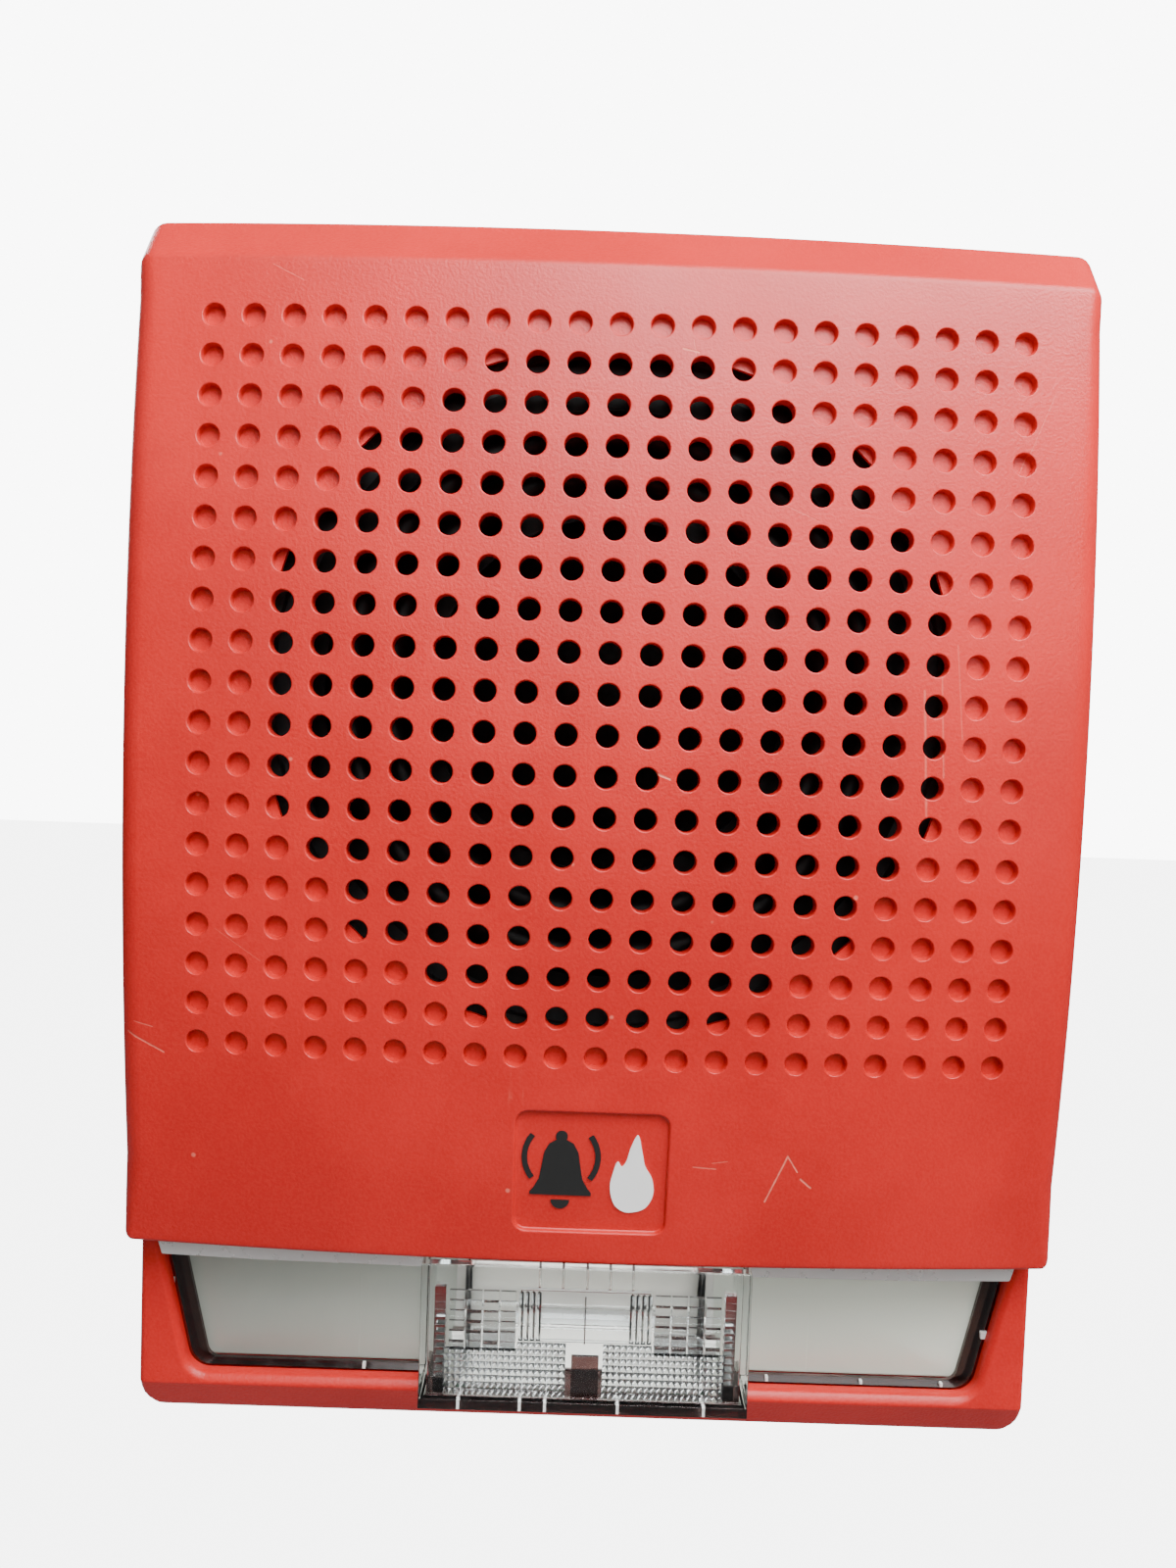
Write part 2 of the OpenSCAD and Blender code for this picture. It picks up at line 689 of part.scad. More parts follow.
module top_plate() {
  color("#8d9094") ring(gap_r, plate_r, top_plate_y, magnet_y);
}
module magnet_ring() {
  color("#3c3d40") ring(gap_r + 2, magnet_r, magnet_y, pole_plate_y);
}
module pole_plate() {
  color("#8d9094") {
    taper(plate_r, plate_r, pole_plate_y, pole_plate_y + pole_plate_t);
    taper(pole_r, pole_r, top_plate_y, pole_plate_y + eps);
  }
}

module speaker_screws() {
  color("#9a9c9e") for (e = ears) screw(e.x, e.y, flange_y - 1.6, 2.9, 1.6, ear_screw_r, 8);
}

// Terminal strip behind the flange, with two solder tabs
module terminal_strip() {
  color("#6b4a2c") block([-8, flange_y + flange_t, -47], [8, tab_y, -41.4]);
}
module speaker_tabs() {
  color("#c9c6bb") for (s = [-1, 1]) block([s * tab_x - 1.3, tab_y, tab_z - 0.4],
                                           [s * tab_x + 1.3, tab_y + tab_len, tab_z + 0.4]);
}

module audio_board() {
  color("#2e6b3a") difference() {
    block([-audio_x, audio_y, audio_bottom], [audio_x, audio_back, audio_top]);
    for (p = audio_screws) rod(p.x, p.y, board_hole_r, audio_y - 1, audio_back + 1);
    rod(tap.x, tap.y, 2, audio_y - 1, audio_back + 1);
  }
}

// Line transformer: laminated core with two windows, and the bobbin round its middle leg
transformer_x = -15;
transformer_z = -37;
core_h = 22;
module transformer_core() {
  color("#5d6063") difference() {
    block([transformer_x - 13, audio_back, transformer_z - 4.5],
          [transformer_x + 13, audio_back + core_h, transformer_z + 4.5]);
    for (s = [-1, 1])
      block([transformer_x + s * 6 - 2.5, audio_back + 4, transformer_z - 5],
            [transformer_x + s * 6 + 2.5, audio_back + core_h - 4, transformer_z + 5]);
  }
}
module transformer_bobbin() {
  gap = 0.3;
  color("#c9a23a") difference() {
    block([transformer_x - 8.2, audio_back + 4 + gap, transformer_z - 9],
          [transformer_x + 8.2, audio_back + core_h - 4 - gap, transformer_z + 9]);
    block([transformer_x - 3.5 - gap, audio_back, transformer_z - 4.5 - gap],
          [transformer_x + 3.5 + gap, audio_back + core_h, transformer_z + 4.5 + gap]);
  }
}

module blocking_capacitors() {
  color("#2a4f8c") for (x = [5.5, 17.5]) {
    rod(x, -30.5, 4.8, audio_back, audio_back + 15);
  }
}

// Rotary selector for the loudspeaker's power
module tap_housing() {
  color("#26282b") difference() {
    block([tap.x - 4.5, audio_back, audio_bottom], [tap.x + 4.5, audio_back + 6, audio_bottom + 9]);
    rod(tap.x, tap.y, rotor_shaft_r + shaft_gap, audio_back - 1, audio_back + 4.6);
  }
}
module tap_rotor() {
  color("#e8e8e4") difference() {
    union() {
      rod(tap.x, tap.y, rotor_r, rotor_front_y, audio_y - 0.4);
      rod(tap.x, tap.y, rotor_shaft_r, audio_y - 0.4 - eps, audio_back + 4.3);
    }
    block([tap.x - 0.4, rotor_front_y - 1, tap.y - 2.2], [tap.x + 0.4, rotor_front_y + 1, tap.y + 3.2]);
  }
}

// Terminal block for the field wiring: screws from behind, wires from below
module terminal_block() {
  color("#2c6e4f") difference() {
    block([terminals[0] - terminal_side, audio_back, terminal_bottom],
          [terminals[3] + terminal_side, terminal_back, terminal_top]);
    for (x = terminals) {
      block([x - terminal_slot.x, audio_back + terminal_slot.y, terminal_bottom - 1],
            [x + terminal_slot.x, audio_back + terminal_slot.z, terminal_top - 2]);
      rod(x, terminal_z, terminal_screw_r + 0.2, audio_back + 7, terminal_back + 1);
    }
  }
}
module terminal_screws() {
  color("#b9b9b4") for (x = terminals) difference() {
    rod(x, terminal_z, terminal_screw_r, audio_back + 7.6, terminal_back - 1);
    block([x - 1.3, terminal_back - 2, terminal_z - 0.3], [x + 1.3, terminal_back, terminal_z + 0.3]);
  }
}
module terminal_clamps() {
  color("#cfcabb") for (x = terminals)
    block([x - 1.9, audio_back + 6.2, terminal_z - 2], [x + 1.9, audio_back + 7.2, terminal_z + 2]);
}

module audio_board_screws() {
  color("#9a9c9e") for (p = audio_screws) mirror([0, 1, 0])
    screw(p.x, p.y, -audio_back - 1.2, 2.2, 1.2, small_screw_r, board_t + 3);
}

// Insulated lead swept along its points; the sweep stays in planes of constant X
lead_sides = 8;
lead_r = 0.7;
strobe_lead_x = -20;
strobe_lead_hole_z = -49.2;
strobe_lead_hole_r = 3.4;
module lead(path, r) {
  n = len(path);
  function dir(i) = unit(path[min(i + 1, n - 1)] - path[max(i - 1, 0)]);
  rings = [for (i = [0:n - 1]) let (d = dir(i), u = [1, 0, 0], v = unit(cross(d, u)))
    for (k = [0:lead_sides - 1]) let (a = k * 360 / lead_sides) path[i] + r * (cos(a) * u + sin(a) * v)];
  sides = [for (i = [0:n - 2], k = [0:lead_sides - 1]) let (m = (k + 1) % lead_sides)
    [i * lead_sides + k, (i + 1) * lead_sides + k, (i + 1) * lead_sides + m, i * lead_sides + m]];
  polyhedron(points = rings, faces = concat([[for (k = [0:lead_sides - 1]) k]], sides,
    [[for (k = [lead_sides - 1:-1:0]) (n - 1) * lead_sides + k]]), convexity = 4);
}
// Each point is [the share of the way from the tabs to the board, z]
speaker_lead_path = [[0, -44], [0.13, -44], [0.24, -43.2], [0.31, -41.6], [0.37, -39.4],
                     [0.44, -37], [0.54, -34.8], [0.66, -33.2], [0.79, -32.4], [0.9, -32], [1, -32]];
module speaker_leads() {
  color("#7a1f1a") for (s = [-1, 1])
    lead([for (p = speaker_lead_path) [s * tab_x, tab_end_y + p.x * (audio_y - tab_end_y), p.y]], lead_r);
}
// Each point is [y, z], from the strobe board through the base to the audio board
strobe_lead_path = [[strobe_board_y, -54.6], [strobe_board_y - 1.2, -54.6],
                    [strobe_board_y - 2.3, -53.9], [strobe_board_y - 2.7, -52.6],
                    [strobe_board_y - 2.2, -51.2], [strobe_board_y - 0.9, -50.2],
                    [-4.4, -49.7], [-2, -49.5], [0.4, -49.3], [audio_y - 2.2, -48.8],
                    [audio_y - 1.4, -47.8], [audio_y - 0.9, -46.6],
                    [audio_y - 0.4, -46.2], [audio_y, -46.2]];
module strobe_leads() {
  color("#30302e") for (s = [-1, 1])
    lead([for (p = strobe_lead_path) [strobe_lead_x + s * 0.9, p.x, p.y]], lead_r);
}

front_cover();
badge_bell();
badge_flame();
base_plate();
strobe_window();
reflector_panel_left();
reflector_panel_right();
reflector_dish();
flash_tube();
tube_electrodes();
trigger_coil();
strobe_board();
flash_capacitor();
strobe_inductor();
candela_housing();
candela_slider();
window_screws();
strobe_board_screws();
speaker_basket();
speaker_gasket();
speaker_surround();
speaker_cone();
dust_cap();
coil_former();
voice_coil();
spider();
top_plate();
magnet_ring();
pole_plate();
speaker_screws();
terminal_strip();
speaker_tabs();
audio_board();
transformer_core();
transformer_bobbin();
blocking_capacitors();
tap_housing();
tap_rotor();
terminal_block();
terminal_screws();
terminal_clamps();
audio_board_screws();
speaker_leads();
strobe_leads();
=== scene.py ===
"""Looks of a wall-mounted fire alarm speaker strobe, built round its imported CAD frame.

Lengths are in millimetres in the frame's axes: +X right, +Y into the wall, +Z up.
Meshes are scaled to metres when they are made.
"""

import json
import math
from dataclasses import dataclass

import bmesh
import bpy
import numpy as np
from mathutils import Matrix, Vector


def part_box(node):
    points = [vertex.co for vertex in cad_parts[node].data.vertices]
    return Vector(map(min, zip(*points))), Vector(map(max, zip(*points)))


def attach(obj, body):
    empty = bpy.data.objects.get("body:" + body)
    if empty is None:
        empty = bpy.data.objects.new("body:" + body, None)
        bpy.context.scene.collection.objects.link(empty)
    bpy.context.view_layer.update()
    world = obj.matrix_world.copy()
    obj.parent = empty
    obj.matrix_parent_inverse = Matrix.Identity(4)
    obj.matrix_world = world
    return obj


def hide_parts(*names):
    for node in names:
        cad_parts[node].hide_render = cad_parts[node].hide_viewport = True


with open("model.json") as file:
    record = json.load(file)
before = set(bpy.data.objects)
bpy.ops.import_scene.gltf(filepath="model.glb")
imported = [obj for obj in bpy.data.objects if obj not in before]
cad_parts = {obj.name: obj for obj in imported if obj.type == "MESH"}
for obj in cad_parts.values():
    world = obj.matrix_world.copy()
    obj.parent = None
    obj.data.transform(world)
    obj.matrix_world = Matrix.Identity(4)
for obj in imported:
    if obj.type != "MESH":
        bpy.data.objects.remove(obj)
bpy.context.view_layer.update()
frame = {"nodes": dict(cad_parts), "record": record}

MM = 0.001


def box_mm(node):
    """A CAD node's lowest and highest corner in millimetres."""
    low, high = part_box(node)
    return low / MM, high / MM


# ---------------- sizes
COVER_LOW, COVER_HIGH = box_mm("front_cover")
HALF_W = COVER_HIGH.x
TOP = COVER_HIGH.z
BOTTOM = COVER_LOW.z
BACK_Y = COVER_HIGH.y
DEPTH = -COVER_LOW.y
STEP_Z = -76.4
RIM_Y = -12.4
RIM_HALF_W = HALF_W - 0.6
PLATE_T = 2.1
RIM_SIDE_T = 1.2

# The face is a shallow dome: it falls back as the square of the distance from its middle
DOME_X = 7.25e-4
DOME_Z = 1.1e-3
DOME_MID_Z = -7.3
TOP_EDGE_TRIM = 0.4
BEVEL_FRONT_Z = 55.2
BEVEL_BACK_Y = -16.5
RIDGE_Z = -99.1
FOOT_Y = -9.9
SIDE_R = 3.2
TOP_SIDE_R = 2.5
EDGE_R = 1.2
RIM_R = 0.9
FOOT_R = 3.0

# Grille
PITCH = 5.25
HOLE_R = 1.48
HOLE_LIP = 0.2
HOLE_COLS = 10
HOLE_ROWS = 9
BLIND_DEPTH = 1.3
# Holes go right through up to this many pitches from the middle
OPEN_STEPS = 8.3
# The round pocket behind the plate cuts across the holes between that and this
PART_OPEN_STEPS = 8.56
POCKET_R = 45.3
CELL_STEPS = 5
CELL = PITCH / CELL_STEPS
GRID_X = (HOLE_COLS + 0.5) * PITCH
GRID_Z = (HOLE_ROWS + 0.5) * PITCH

# Pictogram field
FIELD_HALF_W = 10.1
FIELD_TOP = -54.8
FIELD_BOTTOM = -71.6
FIELD_R = 1.6
FIELD_DEPTH = 0.7
FIELD_LIP = 0.35

# Sine and cosine of the steps round a soft lip
QUARTER = [(math.sin(t), math.cos(t)) for t in map(math.radians, (0, 30, 60, 90))]

# Strobe opening
OPENING_TOP_Z = -77.2
OPENING_TOP_HALF = 60.6
OPENING_BOTTOM_Z = -97.6
OPENING_BOTTOM_HALF = 55.9
OPENING_R = 3.2

# Hooks on the cover's top edge
PIVOT_Y = BACK_Y - 1.5
PIVOT_Z = TOP - 4.0
HOOK_X = 39.0
HOOK_W = 4.0
HOOK_R = 1.9
BORE_R = 1.2

WINDOW_FRONT = box_mm("strobe_window")[0].y
LENS_BOTTOM = -96.5
LENS_FOOT = -95.1
DISH_LOW, DISH_HIGH = box_mm("reflector_dish")
LENS_HALF_W = 22.2
LENS_TOP = -76.5
WINDOW_BACK = -9.2
FLOOR_Z = -320


def face_y(x, z):
    """Depth of the domed face at x and z."""
    return -DEPTH + DOME_X * x * x + DOME_Z * (z - DOME_MID_Z) ** 2


# ---------------- mesh making
class Skin:
    """Points and faces of one mesh, made piece by piece."""

    def __init__(self):
        self.points = []
        self.faces = []

    def add(self, points):
        """Adds points and gives their numbers."""
        first = len(self.points)
        self.points.extend(tuple(p) for p in points)
        return list(range(first, len(self.points)))

    def bridge(self, a, b, closed=True):
        """Quads between two rows of point numbers of the same length."""
        n = len(a)
        for k in range(n if closed else n - 1):
            m = (k + 1) % n
            if a[k] == b[k] and a[m] == b[m]:
                continue
            quad = [a[k], a[m], b[m], b[k]]
            self.faces.append([q for i, q in enumerate(quad) if q not in quad[:i]])

    def face(self, loop):
        """One face with these corners."""
        self.faces.append(list(loop))

    def box(self, low, high):
        """A closed box."""
        xs, ys, zs = zip(low, high)
        corners = self.add((x, y, z) for z in zs for y in ys for x in xs)
        for f in ((0, 1, 3, 2), (4, 6, 7, 5), (0, 4, 5, 1), (2, 3, 7, 6), (0, 2, 6, 4), (1, 5, 7, 3)):
            self.face(corners[k] for k in f)

    def chain(self, loops):
        """Quads from each closed row to the next."""
        for a, b in zip(loops, loops[1:]):
            self.bridge(a, b)

    def solid(self, first, second):
        """A closed solid between two outlines with the same number of points."""
        a, b = self.add(first), self.add(second)
        self.bridge(a, b)
        self.face(a)
        self.face(b[::-1])

    def prism(self, outline, y0, y1):
        """A closed solid: an outline of (x, z) points, from y0 to y1."""
        self.solid(((x, y0, z) for x, z in outline), ((x, y1, z) for x, z in outline))

    def mesh(self):
        """The points and faces as a bmesh."""
        data = bpy.data.meshes.new("draft")
        data.from_pydata(self.points, [], self.faces)
        bm = bmesh.new()
        bm.from_mesh(data)
        bpy.data.meshes.remove(data)
        return bm


def finish_mesh(bm, name, material, smooth_deg=50.0, bevel=0.0):
    """Turns a bmesh in millimetres into an object in metres."""
    bmesh.ops.remove_doubles(bm, verts=bm.verts, dist=1e-4)
    loose = [v for v in bm.verts if not v.link_faces]
    bmesh.ops.delete(bm, geom=loose, context="VERTS")
    bmesh.ops.recalc_face_normals(bm, faces=bm.faces)
    bmesh.ops.scale(bm, vec=(MM, MM, MM), verts=bm.verts)
    data = bpy.data.meshes.new(name)
    bm.to_mesh(data)
    bm.free()
    data.polygons.foreach_set("use_smooth", [True] * len(data.polygons))
    data.set_sharp_from_angle(angle=math.radians(smooth_deg))
    data.materials.append(material)
    obj = bpy.data.objects.new(name, data)
    bpy.context.scene.collection.objects.link(obj)
    if bevel:
        edge = obj.modifiers.new("edge", "BEVEL")
        edge.width = bevel * MM
        edge.segments = 2
        edge.limit_method = "ANGLE"
        edge.angle_limit = math.radians(40)
        edge.harden_normals = True
    return obj


def skin_mesh(skin, name, material, **options):
    """An object from a Skin."""
    return finish_mesh(skin.mesh(), name, material, **options)


def settle(obj, body, slot, *nodes):
    """A finished piece rides on its body and stands for its CAD nodes, which are hidden. slot is not used."""
    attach(obj, body)
    if nodes:
        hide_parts(*nodes)
    return obj


def arc_points(cx, cz, r, start, end, steps):
    """Points along an arc, with angles in degrees."""
    turns = [math.radians(start + (end - start) * k / steps) for k in range(steps + 1)]
    return [(cx + r * math.cos(t), cz + r * math.sin(t)) for t in turns]


# ---------------- materials
def new_material(name):
    """An empty node material, its node tree and its Principled node."""
    material = bpy.data.materials.new(name)
    material.use_nodes = True
    tree = material.node_tree
    return material, tree, tree.nodes["Principled BSDF"]


def feed(made, key, value):
    """Links a socket to one of a node's inputs, or sets the input's value."""
    if isinstance(value, bpy.types.NodeSocket):
        made.id_data.links.new(value, made.inputs[key])
    else:
        made.inputs[key].default_value = value


def node(tree, kind, **values):
    """A shader node, by its kind without the first word, with some inputs or settings filled in."""
    made = tree.nodes.new("ShaderNode" + kind)
    for key, value in values.items():
        if key.startswith("in_"):
            name = key[3:].replace("_", " ")
            feed(made, int(name) if name.isdigit() else name, value)
        else:
            setattr(made, key, value)
    return made


def here(tree):
    """The place on the object."""
    return node(tree, "TexCoord").outputs["Object"]


def along_axis(tree, place, axis):
    """One coordinate of a place."""
    return node(tree, "SeparateXYZ", in_0=place).outputs[axis]


def vector_node(tree, operation, a, b):
    """The node of one vector operation."""
    return node(tree, "VectorMath", operation=operation, in_0=a, in_1=b)


def noise(tree, scale, detail=3.0, roughness=0.55, stretch=None):
    """A noise value in object space. scale is in cycles per metre."""
    place = here(tree)
    if stretch:
        place = vector_node(tree, "MULTIPLY", place, stretch).outputs[0]
    values = {"in_Vector": place, "in_Scale": scale, "in_Detail": detail, "in_Roughness": roughness}
    return node(tree, "TexNoise", **values).outputs["Fac"]


def spread(tree, value, low, high, to_low=0.0, to_high=1.0):
    """value from low to high, mapped smoothly to another range and held there."""
    made = node(tree, "MapRange", interpolation_type="SMOOTHSTEP")
    for k, number in enumerate((value, low, high, to_low, to_high)):
        feed(made, k, number)
    return made.outputs[0]


def math_node(tree, operation, a, b=0.0):
    """The result of one math operation."""
    return node(tree, "Math", operation=operation, in_0=a, in_1=b).outputs[0]


def mix_colour(tree, share, a, b):
    """A colour between a and b."""
    return node(tree, "Mix", data_type="RGBA", in_0=share, in_6=a, in_7=b).outputs[2]


def by_ray(tree, ray, usual, special):
    """A shader that differs for one kind of ray."""
    share = node(tree, "LightPath").outputs[ray]
    return node(tree, "MixShader", in_0=share, in_1=usual, in_2=special).outputs[0]


def bump(tree, bsdf, height, distance, strength=1.0, before=None):
    """Adds a bump to the shader's normal. distance is in metres."""
    made = node(tree, "Bump", in_Height=height, in_Distance=distance, in_Strength=strength)
    if before is not None:
        feed(made, "Normal", before)
    feed(bsdf, "Normal", made.outputs[0])
    return made.outputs[0]


def fill(made, **values):
    """Feeds several inputs of a node, named with _ for a space."""
    for key, value in values.items():
        feed(made, key.replace("_", " "), value)


def plain(name, colour, rough, metal=0.0, vary=0.12, grain=900.0, grain_h=6e-6, stretch=None, coat=0.0,
          shine=0.5):
    """A finished material: colour and roughness vary gently, and a fine grain breaks the surface."""
    material, tree, bsdf = new_material(name)
    cloud = noise(tree, 60.0, 4.0)
    fine = noise(tree, grain, 3.0, stretch=stretch)
    dark = [c * (1 - vary) for c in colour] + [1]
    light = [min(1, c * (1 + vary)) for c in colour] + [1]
    shade = mix_colour(tree, spread(tree, cloud, 0.3, 0.7), dark, light)
    rough = spread(tree, fine, 0.2, 0.8, rough * 0.85, min(1, rough * 1.15))
    fill(bsdf, Base_Color=shade, Roughness=rough, Metallic=metal, Coat_Weight=coat, Specular_IOR_Level=shine)
    bump(tree, bsdf, fine, grain_h)
    return material


def segment_distance(tree, place, start, end):
    """Distance in metres from a point to the line between two (x, z) points given in millimetres."""
    a = Vector((start[0] * MM, 0, start[1] * MM))
    b = Vector((end[0] * MM, 0, end[1] * MM))
    along = b - a
    flat = vector_node(tree, "MULTIPLY", place, (1, 0, 1)).outputs[0]
    offset = vector_node(tree, "SUBTRACT", flat, a).outputs[0]
    dot = vector_node(tree, "DOT_PRODUCT", offset, along).outputs["Value"]
    size = along.length_squared
    share = node(tree, "Math", operation="DIVIDE", use_clamp=True, in_0=dot, in_1=size)
    nearest = node(tree, "VectorMath", operation="SCALE", in_0=along, in_Scale=share.outputs[0])
    return vector_node(tree, "DISTANCE", offset, nearest.outputs[0]).outputs["Value"]


# Wear on the cover: x and z of each mark's start and end, half width, and strength from 0 to 1
SCRATCHES = [
    (26.0, -60.0, 23.3, -66.5, 0.16, 0.8), (26.0, -60.0, 27.4, -62.2, 0.14, 0.9),
    (27.9, -63.2, 29.3, -64.4, 0.18, 0.9), (13.5, -61.8, 16.5, -62.0, 0.12, 0.5),
    (16.0, -61.2, 18.0, -60.9, 0.10, 0.35), (40.4, 2.0, 41.4, -14.0, 0.22, 0.35),
    (42.6, 4.0, 43.4, -9.0, 0.16, 0.30), (44.5, 8.0, 45.6, -4.0, 0.12, 0.22),
    (9.3, 45.6, 10.2, 41.3, 0.10, 0.30), (8.0, 44.4, 10.0, 44.0, 0.16, 0.7),
    (6.0, -9.6, 8.2, -10.4, 0.18, 0.9), (-62.0, -46.5, -57.0, -49.0, 0.16, 0.6),
    (-61.0, -45.0, -58.5, -45.6, 0.10, 0.4), (-45.0, 54.0, -41.0, 52.0, 0.10, 0.3),
    (52.0, 30.0, 56.5, 41.0, 0.09, 0.2), (20.0, 25.5, 26.0, 23.0, 0.08, 0.25),
    (-50.0, -32.0, -44.0, -36.0, 0.08, 0.2),
]


def cover_plastic():
    """Red moulded plastic: fine grain, paler where it is rubbed, with scratches, small specks, and painted
    light that brightens it towards the top.
    """
    material, tree, bsdf = new_material("cover_red")
    place = here(tree)
    deep = (0.50, 0.010, 0.008, 1)
    fresh = (0.60, 0.015, 0.012, 1)
    rubbed = (0.86, 0.24, 0.17, 1)
    cloud = noise(tree, 28.0, 5.0, 0.6)
    colour = mix_colour(tree, spread(tree, cloud, 0.35, 0.65), deep, fresh)
    mottle = noise(tree, 2400.0, 2.0, 0.6)
    colour = mix_colour(tree, spread(tree, mottle, 0.36, 0.64, 0.0, 0.06), colour, (0.95, 0.13, 0.10, 1))
    # Painted light: the red turns brighter towards the top, as if lit more from above
    height = along_axis(tree, place, "Z")
    painted_top_light = spread(tree, height, -0.08, 0.06, 0.0, 0.12)
    colour = mix_colour(tree, painted_top_light, colour, (0.90, 0.10, 0.085, 1))
    wobble = noise(tree, 900.0, 4.0, 0.7)
    marks = None
    for x0, z0, x1, z1, width, strength in SCRATCHES:
        gap = segment_distance(tree, place, (x0, z0), (x1, z1))
        rough_gap = math_node(tree, "ADD", gap, math_node(tree, "MULTIPLY", wobble, width * MM))
        mark = spread(tree, rough_gap, width * 0.5 * MM, width * 1.7 * MM, strength, 0.0)
        marks = mark if marks is None else math_node(tree, "MAXIMUM", marks, mark)
    scuffs = noise(tree, 140.0, 6.0, 0.75, stretch=(1.0, 1.0, 0.12))
    scuffs = spread(tree, scuffs, 0.66, 0.80, 0.0, 0.22)
    specks = node(tree, "TexVoronoi", in_Vector=place, in_Scale=110.0).outputs["Distance"]
    specks = spread(tree, specks, 0.02, 0.045, 0.5, 0.0)
    wear = math_node(tree, "MAXIMUM", marks, math_node(tree, "MAXIMUM", scuffs, specks))
    colour = mix_colour(tree, wear, colour, rubbed)
    fine = noise(tree, 2600.0, 2.0, 0.5)
    patches = noise(tree, 45.0, 4.0)
    rough = spread(tree, patches, 0.3, 0.7, 0.34, 0.42)
    rough = math_node(tree, "ADD", rough, math_node(tree, "MULTIPLY", wear, 0.2))
    fill(bsdf, Base_Color=colour, Roughness=rough, Specular_IOR_Level=0.36)
    grain = bump(tree, bsdf, fine, 6e-5, 0.8)
    bump(tree, bsdf, math_node(tree, "MULTIPLY", marks, -1.0), 6e-5, 0.8, before=grain)
    return material


def clear_plastic(name, tint=(0.95, 0.97, 0.97, 1), rough=0.06, ior=1.5):
    """Clear moulded plastic that lets lamps light what is behind it."""
    material, tree, bsdf = new_material(name)
    cloud = noise(tree, 300.0, 4.0)
    rough = spread(tree, cloud, 0.3, 0.75, rough * 0.5, rough * 1.6)
    fill(bsdf, Base_Color=tint, Transmission_Weight=1.0, IOR=ior, Roughness=rough)
    bump(tree, bsdf, noise(tree, 160.0, 2.0), 4e-5, 0.5)
    clear = node(tree, "BsdfTransparent")
    mixed = by_ray(tree, "Is Shadow Ray", bsdf.outputs[0], clear.outputs[0])
    feed(tree.nodes["Material Output"], "Surface", mixed)
    return material


def ledge_plastic():
    """The thick top edge of the window, where light scatters in it."""
    material = clear_plastic("ledge_lens", (0.93, 0.94, 0.92, 1), 0.35)
    feed(material.node_tree.nodes["Principled BSDF"], "Transmission Weight", 0.35)
    return material


def panel_white():
    """Satin white panel with a faint brushed sheen, small dark specks, greyer patches, and a painted sheen
    that makes it lighter towards +X.
    """
    material, tree, bsdf = new_material("panel_white")
    place = here(tree)
    cloud = noise(tree, 45.0, 4.0)
    colour = mix_colour(tree, spread(tree, cloud, 0.3, 0.7), (0.40, 0.43, 0.38, 1), (0.46, 0.49, 0.43, 1))
    # Painted sheen: grey on the left turning near white on the right, in place of the lamps' reflection
    painted_sheen_across = along_axis(tree, place, "X")
    colour = mix_colour(tree, spread(tree, painted_sheen_across, -0.06, 0.06), colour, (0.88, 0.93, 0.80, 1))
    specks = node(tree, "TexVoronoi", in_Vector=place, in_Scale=95.0).outputs["Distance"]
    colour = mix_colour(tree, spread(tree, specks, 0.015, 0.03, 0.7, 0.0), colour, (0.12, 0.12, 0.11, 1))
    streaks = noise(tree, 700.0, 3.0, stretch=(1.0, 1.0, 0.1))
    fill(bsdf, Base_Color=colour, Roughness=spread(tree, streaks, 0.3, 0.7, 0.34, 0.46), Metallic=0.2)
    bump(tree, bsdf, noise(tree, 1600.0, 2.0), 6e-6, 0.6)
    return material


def grey(level):
    """A neutral colour."""
    return (level, level, level)


